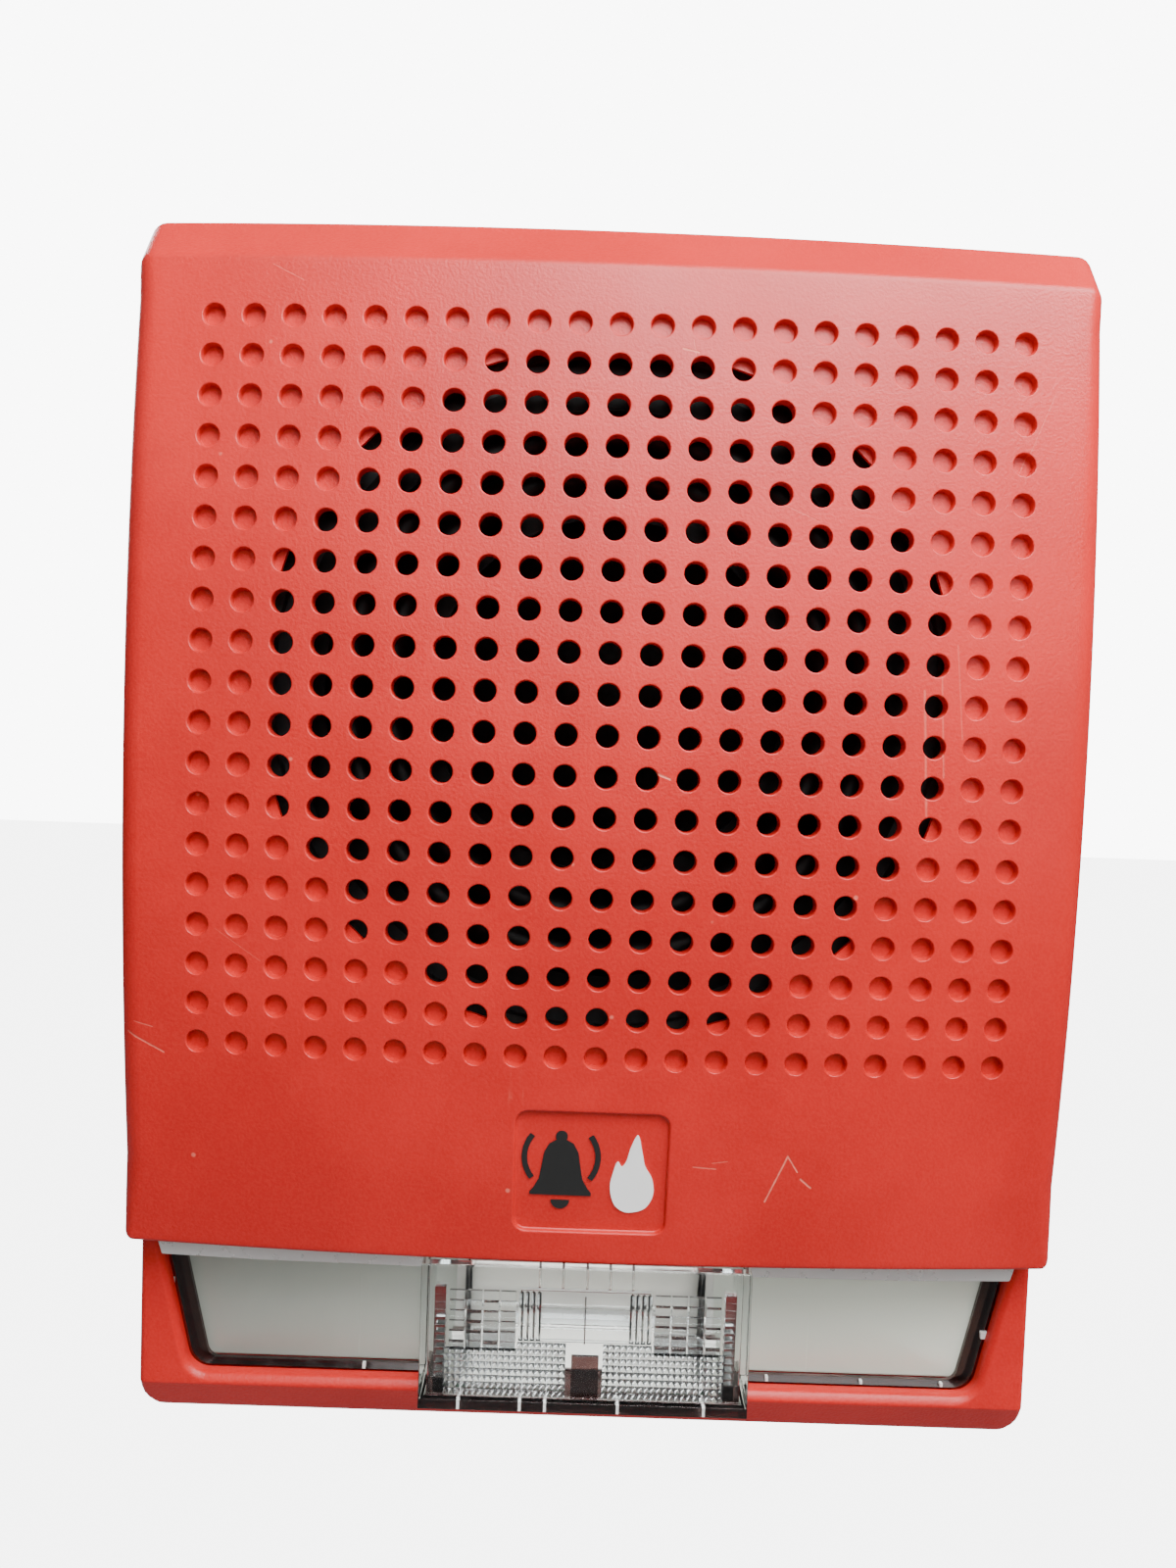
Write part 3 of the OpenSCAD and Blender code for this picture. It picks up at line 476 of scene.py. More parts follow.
# Plain finishes by slot: colour, roughness, and options of plain()
PLAIN = {
    "symbol_black": (grey(0.012), 0.45, dict(grain=2400.0)),
    "symbol_white": ((0.95, 0.94, 0.93), 0.5, dict(vary=0.03, grain=2400.0)),
    "base_red": ((0.42, 0.030, 0.020), 0.5, dict(grain=1800.0)),
    "dish_silver": ((0.80, 0.79, 0.73), 0.34, dict(metal=0.35, vary=0.04)),
    "electrode_metal": ((0.6, 0.59, 0.55), 0.3, dict(metal=1.0)),
    "coil_dark": ((0.035, 0.028, 0.022), 0.35, dict(coat=0.4)),
    "capacitor_black": ((0.016, 0.018, 0.026), 0.32, dict(coat=0.3)),
    "ferrite_grey": ((0.07, 0.072, 0.078), 0.6, dict(grain=1500.0)),
    "housing_black": ((0.018, 0.018, 0.02), 0.45, dict(grain=1500.0)),
    "slider_white": ((0.78, 0.77, 0.72), 0.42, {}),
    "screw_steel": ((0.62, 0.62, 0.6), 0.28, dict(metal=1.0, stretch=(1, 8, 1))),
    "basket_black": ((0.022, 0.022, 0.024), 0.42, dict(coat=0.2, grain=1400.0)),
    "gasket_foam": ((0.035, 0.034, 0.032), 0.9, dict(grain=1800.0, grain_h=6e-5)),
    "surround_rubber": ((0.005, 0.004, 0.004), 0.42, dict(shine=0.2)),
    "cone_black": ((0.005, 0.004, 0.004), 0.8, dict(shine=0.15, grain=1300.0, grain_h=5e-5)),
    "dust_cap_black": (grey(0.006), 0.75, dict(shine=0.2, grain=1300.0, grain_h=4e-5)),
    "former_kraft": ((0.45, 0.25, 0.09), 0.7, dict(stretch=(1, 10, 1))),
    "spider_cloth": ((0.55, 0.34, 0.12), 0.85, dict(grain=2200.0, grain_h=8e-5)),
    "plate_steel": ((0.55, 0.54, 0.5), 0.34, dict(metal=1.0)),
    "magnet_ferrite": ((0.045, 0.046, 0.05), 0.55, dict(grain=1200.0, grain_h=3e-5)),
    "strip_brown": ((0.16, 0.07, 0.03), 0.5, {}),
    "tab_tin": ((0.66, 0.64, 0.58), 0.32, dict(metal=1.0)),
    "bobbin_yellow": ((0.62, 0.40, 0.06), 0.3, dict(coat=0.3, stretch=(1, 1, 6))),
    "capacitor_blue": ((0.02, 0.07, 0.26), 0.3, dict(coat=0.4)),
    "terminal_green": ((0.02, 0.17, 0.09), 0.42, {}),
    "clamp_brass": ((0.66, 0.58, 0.38), 0.32, dict(metal=1.0)),
    "lead_red": ((0.36, 0.02, 0.015), 0.38, {}),
    "lead_black": (grey(0.02), 0.38, {}),
}


def materials():
    """Every material, by the record's slot name."""
    made = {name: plain(name, colour, rough, **options) for name, (colour, rough, options) in PLAIN.items()}
    return made | {
        "cover_red": cover_plastic(),
        "clear_lens": clear_plastic("clear_lens"),
        # Clear plastic tinted dark brown: painted shade, for shadowed red plastic seen through the lens foot
        # and the skirt
        "painted_shade_lens": clear_plastic("painted_shade_lens", (0.10, 0.045, 0.04, 1), 0.12),
        "ledge_lens": ledge_plastic(),
        "block_lens": clear_plastic("block_lens", ior=1.3),
        "tube_glass": clear_plastic("tube_glass", (0.96, 0.98, 1.0, 1), 0.02, 1.47),
        "panel_white": panel_white(),
        "board_green": board_green(),
        "coil_copper": winding("coil_copper", (0.72, 0.26, 0.09), 5200.0),
        "core_steel": laminations(),
    }


def board_green():
    """Solder resist with faint copper tracks under it."""
    material, tree, bsdf = new_material("board_green")
    place = here(tree)
    cells = node(tree, "TexVoronoi", in_Vector=place, in_Scale=240.0, distance="MANHATTAN")
    tracks = spread(tree, cells.outputs["Distance"], 0.55, 0.6)
    colour = mix_colour(tree, tracks, (0.012, 0.10, 0.035, 1), (0.03, 0.19, 0.07, 1))
    fill(bsdf, Base_Color=colour, Roughness=spread(tree, noise(tree, 300.0), 0.3, 0.7, 0.22, 0.34))
    bump(tree, bsdf, tracks, 3e-5, 0.6)
    return material


def bands(tree, axis, pitch_mm):
    """A value that rises and falls along one axis once in each pitch."""
    turns = math_node(tree, "MULTIPLY", along_axis(tree, here(tree), axis), 2 * math.pi / (pitch_mm * MM))
    return math_node(tree, "SINE", turns)


def winding(name, colour, grain):
    """Enamelled wire wound along Y."""
    material, tree, bsdf = new_material(name)
    turns = bands(tree, "Y", 0.25)
    shade = [c * 0.55 for c in colour] + [1]
    mixed = mix_colour(tree, spread(tree, turns, -1, 1), shade, [*colour, 1])
    rough = spread(tree, noise(tree, grain), 0.3, 0.7, 0.22, 0.34)
    fill(bsdf, Base_Color=mixed, Roughness=rough, Metallic=0.8)
    bump(tree, bsdf, turns, 4e-5)
    return material


def laminations():
    """A stack of varnished steel sheets."""
    material, tree, bsdf = new_material("core_steel")
    sheets = bands(tree, "Z", 0.5)
    colour = mix_colour(tree, spread(tree, sheets, -0.9, 0.2), (0.03, 0.03, 0.032, 1), (0.26, 0.27, 0.29, 1))
    rough = spread(tree, noise(tree, 500.0), 0.3, 0.7, 0.34, 0.5)
    fill(bsdf, Base_Color=colour, Roughness=rough, Metallic=0.7)
    bump(tree, bsdf, sheets, 5e-5)
    return material


# ---------------- cover
@dataclass
class Row:
    """One station of the cover's profile: its place, and how it moves as the profile is inset."""

    y: float
    z: float
    shift: tuple
    dome: int
    edge: float
    side_r: float
    side_t: float


def unit(v):
    """A 2-D vector of length 1."""
    n = math.hypot(*v)
    return (v[0] / n, v[1] / n)


def fillet_rows(before, corner, after, radius, steps, **facts):
    """Rows round one corner of the profile. An inset moves them all along the corner's mitre."""
    a = unit((before[0] - corner[0], before[1] - corner[1]))
    b = unit((after[0] - corner[0], after[1] - corner[1]))
    half = math.acos(max(-1, min(1, a[0] * b[0] + a[1] * b[1]))) / 2
    middle = unit((a[0] + b[0], a[1] + b[1]))
    centre = [corner[k] + middle[k] * radius / math.sin(half) for k in (0, 1)]
    tangent = radius / math.tan(half)
    start = [corner[k] + a[k] * tangent - centre[k] for k in (0, 1)]
    end = [corner[k] + b[k] * tangent - centre[k] for k in (0, 1)]
    turn = math.pi - 2 * half
    n1, n2 = (a[1], -a[0]), (-b[1], b[0])
    scale = 1 + n1[0] * n2[0] + n1[1] * n2[1]
    mitre = ((n1[0] + n2[0]) / scale, (n1[1] + n2[1]) / scale)
    rows = []
    for k in range(steps + 1):
        t = k / steps
        w0, w1 = math.sin((1 - t) * turn) / math.sin(turn), math.sin(t * turn) / math.sin(turn)
        y = centre[0] + start[0] * w0 + end[0] * w1
        z = centre[1] + start[1] * w0 + end[1] * w1
        rows.append(Row(y, z, mitre, **facts))
    return rows


def profile_rows():
    """The cover's profile from its top back edge, over the face and the step, to its bottom back edge."""
    bevel_front = (face_y(0, BEVEL_FRONT_Z), BEVEL_FRONT_Z)
    step_front = (face_y(0, STEP_Z), STEP_Z)
    top = {"edge": HALF_W, "side_r": TOP_SIDE_R, "side_t": PLATE_T}
    main = {"edge": HALF_W, "side_r": SIDE_R, "side_t": PLATE_T}
    low = {"edge": RIM_HALF_W, "side_r": RIM_R, "side_t": RIM_SIDE_T}
    near_top = (face_y(0, BEVEL_FRONT_Z - 2), BEVEL_FRONT_Z - 2)
    near_step = (face_y(0, STEP_Z + 2), STEP_Z + 2)
    rows = [Row(BACK_Y - TOP_EDGE_TRIM, TOP, (0, -1), 0, **top)]
    rows += fillet_rows((BACK_Y, TOP), (BEVEL_BACK_Y, TOP), bevel_front, 1.0, 5, dome=1, **top)
    rows += fillet_rows((BEVEL_BACK_Y, TOP), bevel_front, near_top, 2.2, 5, dome=1, **top)
    top_mitre = rows[-1].shift
    last_z = rows[-1].z
    for z in np.linspace(last_z, GRID_Z, 5)[1:-1]:
        share = (z - GRID_Z) / (last_z - GRID_Z)
        shift = (1 + (top_mitre[0] - 1) * share, top_mitre[1] * share)
        facts = dict(main, side_r=SIDE_R + (TOP_SIDE_R - SIDE_R) * share)
        rows.append(Row(face_y(0, z), z, shift, 1, **facts))
    first = len(rows)
    steps = round(2 * GRID_Z / CELL)
    for k in range(steps + 1):
        z = GRID_Z - k * CELL
        rows.append(Row(face_y(0, z), z, (1, 0), 1, **main))
    step_rows = fillet_rows(
        near_step, step_front, (RIM_Y, STEP_Z), 0.7, 5, dome=1, edge=HALF_W, side_r=EDGE_R, side_t=PLATE_T
    )
    step_mitre = step_rows[0].shift
    k = 1
    while -GRID_Z - k * CELL > step_rows[0].z + 0.6:
        z = -GRID_Z - k * CELL
        share = (-GRID_Z - z) / (-GRID_Z - STEP_Z)
        late = max(0.0, (share - 0.55) / 0.45)
        facts = {"edge": HALF_W, "side_r": SIDE_R + (EDGE_R - SIDE_R) * late, "side_t": PLATE_T}
        shift = (1 + (step_mitre[0] - 1) * late, step_mitre[1] * late)
        rows.append(Row(face_y(0, z), z, shift, 1, **facts))
        k += 1
    rows += step_rows
    last_main = len(rows) - 1
    rows += fillet_rows(step_front, (RIM_Y, STEP_Z), (RIM_Y, RIDGE_Z), 0.3, 3, dome=0, **low)
    patch_top = len(rows) - 1
    rows += fillet_rows((RIM_Y, STEP_Z), (RIM_Y, RIDGE_Z), (FOOT_Y, BOTTOM), 0.7, 4, dome=0, **low)
    patch_bottom = patch_top + 1
    foot = fillet_rows((RIM_Y, RIDGE_Z), (FOOT_Y, BOTTOM), (BACK_Y, BOTTOM), 1.2, 4, dome=0, **low)
    above, below = rows[-1], foot[0]
    for share in (0.35, 0.6, 0.82):
        y, z = (a + (b - a) * share for a, b in ((above.y, below.y), (above.z, below.z)))
        shift = tuple(a + (b - a) * share for a, b in zip(above.shift, below.shift))
        rows.append(Row(y, z, shift, 0, **low))
    rows += foot
    rows.append(Row(BACK_Y, BOTTOM, (0, 1), 0, **low))
    for row in rows[patch_bottom:]:
        drop = max(0.0, BOTTOM + FOOT_R - row.z)
        row.edge -= FOOT_R - math.sqrt(max(0.0, FOOT_R**2 - drop**2))
    return rows, {"hole": first, "last_main": last_main, "patch_top": patch_top, "patch_bottom": patch_bottom}


def profile_columns():
    """The cover's columns, left to right: a place on the grid, a share of the margin or a side angle."""
    steps = round(2 * GRID_X / CELL)
    middle = [(0, "grid", -GRID_X + k * CELL) for k in range(steps + 1)]
    margin = [0.35, 0.7, 1.0]
    angles = [15, 30, 45, 60, 75, 90]
    right = [(1, "margin", f) for f in margin] + [(1, "angle", a) for a in angles]
    left = [(-1, kind, value) for _, kind, value in right][::-1]
    return left + middle + right, len(left), len(angles)


def place_point(row, column, thickness):
    """A point of the skin that lies thickness behind the outside."""
    side, kind, value = column
    inner = thickness > 0
    edge = row.edge - (row.side_t if inner else 0)
    radius = max(row.side_r - row.side_t, 0.4) if inner else row.side_r
    start = edge - radius
    inset = thickness
    if kind == "grid":
        x = value
    elif kind == "margin":
        x = side * (GRID_X + value * (start - GRID_X))
    else:
        turn = math.radians(value)
        x = side * (start + radius * math.sin(turn))
        inset += radius * (1 - math.cos(turn))
    y = row.y + row.shift[0] * inset + row.dome * DOME_X * x * x
    return x, min(y, BACK_Y), row.z + row.shift[1] * inset


def opening_loop(grow_side, grow_bottom, grow_top, radius, y):
    """The strobe opening, grown sideways, downwards and upwards, as points at depth y."""
    slope = (OPENING_TOP_HALF - OPENING_BOTTOM_HALF) / (OPENING_TOP_Z - OPENING_BOTTOM_Z)
    lean = math.degrees(math.atan(slope))
    bottom = OPENING_BOTTOM_Z - grow_bottom
    top = OPENING_TOP_Z + grow_top
    corner_half = OPENING_BOTTOM_HALF + grow_side - slope * grow_bottom
    sweep = 90 - lean
    reach = radius * math.tan(math.radians(sweep) / 2)
    cx = corner_half - reach
    right = arc_points(cx, bottom + radius, radius, -90, -90 + sweep, 8)
    top_half = OPENING_TOP_HALF + grow_side + slope * grow_top
    steps = 12
    floor = [(-cx + 2 * cx * k / steps, bottom) for k in range(1, steps)]
    x, z = right[-1]
    walls = [(x + (top_half - x) * k / 4, z + (top - z) * k / 4) for k in (1, 2, 3, 4)]
    half = right + walls
    roof = [(top_half - 2 * top_half * k / steps, top) for k in range(1, steps)]
    mirrored = [(-x, z) for x, z in half][::-1]
    return [(x, y, z) for x, z in half + roof + mirrored + floor]


def hole_circle(cx, cz, radius):
    """Points round a grille hole, in step with the points round its cell."""
    count = 4 * CELL_STEPS
    return arc_points(cx, cz, radius, -135, -135 + 360 * (count - 1) / count, count - 1)


def cell_border(grid, row, column, rows, columns):
    """Point numbers round a rectangle of the grid, from its lower left corner."""
    low, high = row + rows, row
    left, right = column, column + columns
    border = [grid[low][c] for c in range(left, right)]
    border += [grid[r][right] for r in range(low, high, -1)]
    border += [grid[high][c] for c in range(right, left, -1)]
    border += [grid[r][left] for r in range(high, low)]
    return border


def cover_holes(skin, outer, inner, first_row, first_column):
    """Cuts the grille into both skins and gives the cells that were filled."""
    taken_outer, taken_inner = set(), set()
    for j in range(-HOLE_ROWS, HOLE_ROWS + 1):
        for i in range(-HOLE_COLS, HOLE_COLS + 1):
            row = first_row + (HOLE_ROWS - j) * CELL_STEPS
            column = first_column + (i + HOLE_COLS) * CELL_STEPS
            cx, cz, steps = i * PITCH, j * PITCH, math.hypot(i, j)
            cells = {(row + a, column + b) for a in range(CELL_STEPS) for b in range(CELL_STEPS)}
            taken_outer |= cells

            def ring(radius, depth):
                points = hole_circle(cx, cz, radius)
                return skin.add((x, face_y(x, z) + depth, z) for x, z in points)

            border = cell_border(outer, row, column, CELL_STEPS, CELL_STEPS)
            loops = [border]
            loops += [ring(HOLE_R + HOLE_LIP * (1 - s), HOLE_LIP * (1 - c)) for s, c in QUARTER]
            if steps <= OPEN_STEPS:
                taken_inner |= cells
                loops += [ring(HOLE_R, PLATE_T), cell_border(inner, row, column, CELL_STEPS, CELL_STEPS)]
            elif steps <= PART_OPEN_STEPS:
                taken_inner |= cells
                loops.append(ring(HOLE_R, BLIND_DEPTH))
                inner_border = cell_border(inner, row, column, CELL_STEPS, CELL_STEPS)
                part_open_floor(skin, cx, cz, loops[-1], inner_border)
            else:
                loops += [ring(HOLE_R * 0.99, BLIND_DEPTH - 0.2), ring(HOLE_R * 0.9, BLIND_DEPTH)]
                skin.face(loops[-1])
            skin.chain(loops)
    return taken_outer, taken_inner


def part_open_floor(skin, cx, cz, wall, inner_border):
    """The floor that is left in a hole across the pocket's edge, and the way through beside it."""
    circle = hole_circle(cx, cz, HOLE_R)
    inside = [math.hypot(x, z) <= POCKET_R for x, z in circle]
    count = len(circle)
    outside = [k for k in range(count) if not inside[k]]
    start = next(k for k in outside if inside[k - 1])
    run = [(start + k) % count for k in range(len(outside))]
    a, b = circle[run[0] - 1], circle[(run[-1] + 1) % count]
    edge = {}
    for step, k in enumerate(run):
        share = (step + 1) / (len(run) + 1)
        edge[k] = (a[0] + (b[0] - a[0]) * share, a[1] + (b[1] - a[1]) * share)
    chord = list(wall)
    for k, (x, z) in edge.items():
        chord[k] = skin.add([(x, face_y(x, z) + BLIND_DEPTH, z)])[0]
    places = [edge.get(k, circle[k]) for k in range(count)]
    through = skin.add((x, face_y(x, z) + PLATE_T, z) for x, z in places)
    skin.chain([wall, chord, through, inner_border])


def cover_field(skin, outer, rows, columns_at):
    """The recessed pictogram field, cut into the outer skin. Gives the cells that it takes."""
    row = next(k for k, r in enumerate(rows) if r.z < FIELD_TOP + 1.6)
    last = max(k for k, r in enumerate(rows) if r.z > FIELD_BOTTOM - 2.6 and r.dome)
    steps_x = math.ceil((FIELD_HALF_W + 1.2) / CELL)
    middle = columns_at + HOLE_COLS * CELL_STEPS + CELL_STEPS // 2
    column = middle - steps_x
    width = 2 * steps_x + 1
    border = cell_border(outer, row, column, last - row, width)
    mid_z = (FIELD_TOP + FIELD_BOTTOM) / 2
    half_h = (FIELD_TOP - FIELD_BOTTOM) / 2

    def ring(grow, depth, radius):
        made = []
        for k in border:
            x, _, z = skin.points[k]
            z -= mid_z
            core_x, core_z = FIELD_HALF_W - FIELD_R, half_h - FIELD_R
            nx, nz = max(-core_x, min(core_x, x)), max(-core_z, min(core_z, z))
            length = math.hypot(x - nx, z - nz)
            reach = (radius + grow) / length
            px, pz = nx + (x - nx) * reach, nz + (z - nz) * reach + mid_z
            made.append((px, face_y(px, pz) + depth, pz))
        return skin.add(made)

    loops = [border]
    loops += [ring(FIELD_LIP * (1 - s), FIELD_LIP * (1 - c), FIELD_R) for s, c in QUARTER]
    loops += [ring(-0.02, FIELD_DEPTH - 0.12, FIELD_R), ring(-0.16, FIELD_DEPTH, FIELD_R)]
    loops.append(ring(-1.2, FIELD_DEPTH, FIELD_R))
    skin.chain(loops)
    skin.face(loops[-1])
    return {(r, c) for r in range(row, last) for c in range(column, column + width)}


def make_cover(material):
    """The front cover: domed perforated face, top bevel, step, and the frame round the strobe opening."""
    rows, at = profile_rows()
    columns, first_column, side_steps = profile_columns()
    skin = Skin()
    grids = []
    for thickness in (0, PLATE_T):
        grids.append([skin.add(place_point(r, c, thickness) for c in columns) for r in rows])
    outer, inner = grids
    taken = list(cover_holes(skin, outer, inner, at["hole"], first_column))
    taken[0] |= cover_field(skin, outer, rows, first_column)
    last_column = len(columns) - 1
    window = range(side_steps, last_column - side_steps)
    window_cells = {(at["patch_top"], c) for c in window}
    for grid, cells in zip(grids, taken):
        for r in range(len(rows) - 1):
            for c in range(last_column):
                if (r, c) not in cells and (r, c) not in window_cells:
                    skin.face((grid[r][c], grid[r][c + 1], grid[r + 1][c + 1], grid[r + 1][c]))
    back_loops = []
    for grid in grids:
        loop = list(grid[0])
        for column in (last_column, 0):
            upper = [grid[r][column] for r in range(at["last_main"] + 1)]
            lower = [grid[r][column] for r in range(at["last_main"] + 1, len(rows))]
            x, _, z = skin.points[upper[-1]]
            ledge = skin.add([(x, BACK_Y, z)])
            skin.face([*upper, *ledge])
            behind = skin.add((skin.points[k][0], BACK_Y, skin.points[k][2]) for k in lower[:-1])
            skin.bridge(lower, [*behind, lower[-1]], closed=False)
            skin.face([upper[-1], lower[0], behind[0], ledge[0]])
            side = ledge + behind
            loop += [*side, *grid[-1][::-1]] if column else side[::-1]
        back_loops.append(loop)
    skin.bridge(*back_loops)
    # The frame's front: from the grid's border to the soft bevel round the opening, and through to the back
    openings = [
        opening_loop(1.0, 1.15, 0.3, OPENING_R + 1.2, RIM_Y),
        opening_loop(0.62, 0.8, 0.2, OPENING_R + 0.9, RIM_Y + 0.14),
        opening_loop(0.25, 0.35, 0.1, OPENING_R + 0.4, RIM_Y + 0.48),
        opening_loop(0, 0, 0, OPENING_R, RIM_Y + 0.95),
        opening_loop(0, 0, 0, OPENING_R, RIM_Y + PLATE_T),
    ]
    loops = [skin.add(points) for points in openings]
    skin.chain(loops)
    bm = skin.mesh()
    bm.verts.ensure_lookup_table()
    for grid, loop in ((outer, loops[0]), (inner, loops[-1])):
        border = [grid[at["patch_top"]][c] for c in range(side_steps, last_column - side_steps + 1)]
        border += [grid[at["patch_bottom"]][c] for c in range(last_column - side_steps, side_steps - 1, -1)]
        edges = []
        for line in (border, loop):
            for a, b in zip(line, line[1:] + line[:1]):
                pair = (bm.verts[a], bm.verts[b])
                edges.append(bm.edges.get(pair) or bm.edges.new(pair))
        bmesh.ops.triangle_fill(bm, use_beauty=True, use_dissolve=False, edges=edges)
    cover = finish_mesh(bm, "front_cover_shell", material, smooth_deg=42)
    level = cover.modifiers.new("normals", "WEIGHTED_NORMAL")
    level.keep_sharp = True
    return settle(cover, "cover", "cover_red", "front_cover")


def make_hooks(material):
    """The cover's two hooks, each with the bore that turns on a pin of the base."""
    steps = 32
    skin = Skin()
    for side in (-1, 1):
        rings = []
        for x in (side * HOOK_X - HOOK_W / 2, side * HOOK_X + HOOK_W / 2):
            outer, bore = [], []
            for k in range(steps):
                c, s = math.cos(math.tau * k / steps), math.sin(math.tau * k / steps)
                painted_sheen_across = (1.5 if c > 0 else HOOK_R) / max(abs(c), 1e-6)
                reach = HOOK_R if s < -1e-6 else min(painted_sheen_across, 1.95 / max(s, 1e-6))
                outer.append((x, PIVOT_Y + c * reach, PIVOT_Z + s * reach))
                bore.append((x, PIVOT_Y + c * BORE_R, PIVOT_Z + s * BORE_R))
            rings.append((skin.add(outer), skin.add(bore)))
        (outer_a, bore_a), (outer_b, bore_b) = rings
        for pair in ((outer_a, outer_b), (bore_a, bore_b), (outer_a, bore_a), (outer_b, bore_b)):
            skin.bridge(*pair)
    settle(skin_mesh(skin, "cover_hooks", material, smooth_deg=35, bevel=0.12), "cover", "cover_red")


# ---------------- pictogram
def inlay(name, outlines, material, cad_node, slot):
    """Thin symbols on the floor of the field, from closed outlines of (x, z) points."""
    skin = Skin()
    for outline in outlines:
        floor_y = [face_y(x, z) + FIELD_DEPTH for x, z in outline]
        skin.solid(*([(x, y + off, z) for (x, z), y in zip(outline, floor_y)] for off in (-0.14, 0.1)))
    return settle(skin_mesh(skin, name, material, smooth_deg=30), "cover", slot, cad_node)


def curve_outline(points):
    """A closed smooth outline through a few points."""
    made = []
    n, steps = len(points), 5
    for k in range(n):
        p0, p1, p2, p3 = (Vector(points[(k + d) % n]) for d in (-1, 0, 1, 2))
        for s in range(steps):
            t = s / steps
            square, cube = 2 * p0 - 5 * p1 + 4 * p2 - p3, 3 * p1 - p0 - 3 * p2 + p3
            made.append(tuple(0.5 * (2 * p1 + (p2 - p0) * t + square * t * t + cube * t**3)))
    return made


def ribbon(points, width):
    """The outline of a stroke with round ends along a few (x, z) points."""
    left, right = [], []
    for k, p in enumerate(points):
        before, after = points[max(k - 1, 0)], points[min(k + 1, len(points) - 1)]
        dx, dz = unit((after[0] - before[0], after[1] - before[1]))
        left.append((p[0] - dz * width / 2, p[1] + dx * width / 2))
        right.append((p[0] + dz * width / 2, p[1] - dx * width / 2))
    return left + right[::-1]


def make_pictogram(made):
    """A black bell with its sound arcs on the left and a white flame on the right."""
    bell_x, bell_z = -4.0, -63.0
    side = [(0.5, 4.3), (1.6, 3.7), (2.3, 2.4), (2.6, 0.4), (2.9, -1.3), (3.6, -2.6), (4.1, -3.2)]
    bell = [(0, 4.4), *side] + [(x, -3.6) for x in (4.1, 2.0, 0)]
    whole = bell + [(-x, z) for x, z in bell[::-1] if x > 0]
    knob, clapper = arc_points(0, 4.7, 0.8, 0, 342, 19), arc_points(0, -4.3, 1.25, 180, 360, 12)
    shapes = [[(bell_x + x, bell_z + z) for x, z in shape] for shape in (whole, knob, clapper)]
    for s, start in ((1, -38), (-1, 142)):
        arc = arc_points(bell_x, bell_z + 0.8, 4.9, start, start + 76, 10)
        shapes.append(ribbon([(x, z + 1.0) for x, z in arc], 0.75))
    inlay("badge_bell_inlay", shapes, made["symbol_black"], "badge_bell", "symbol_black")
    flame_x, flame_z = 5.5, -63.3
    stretch = 1.12
    flame = [(0.1, -4.9), (1.9, -4.3), (2.9, -2.6), (2.7, -0.6), (1.7, 1.0), (1.3, 2.5), (0.6, 4.9),
             (-0.3, 3.4), (-0.8, 1.7), (-1.4, 0.9), (-2.0, 1.5), (-2.5, 0.3), (-2.9, -1.7),
             (-2.4, -3.7), (-1.3, -4.7)]
    outer = curve_outline([(flame_x + x, flame_z + z * stretch) for x, z in flame])
    inlay("badge_flame_inlay", [outer], made["symbol_white"], "badge_flame", "symbol_white")


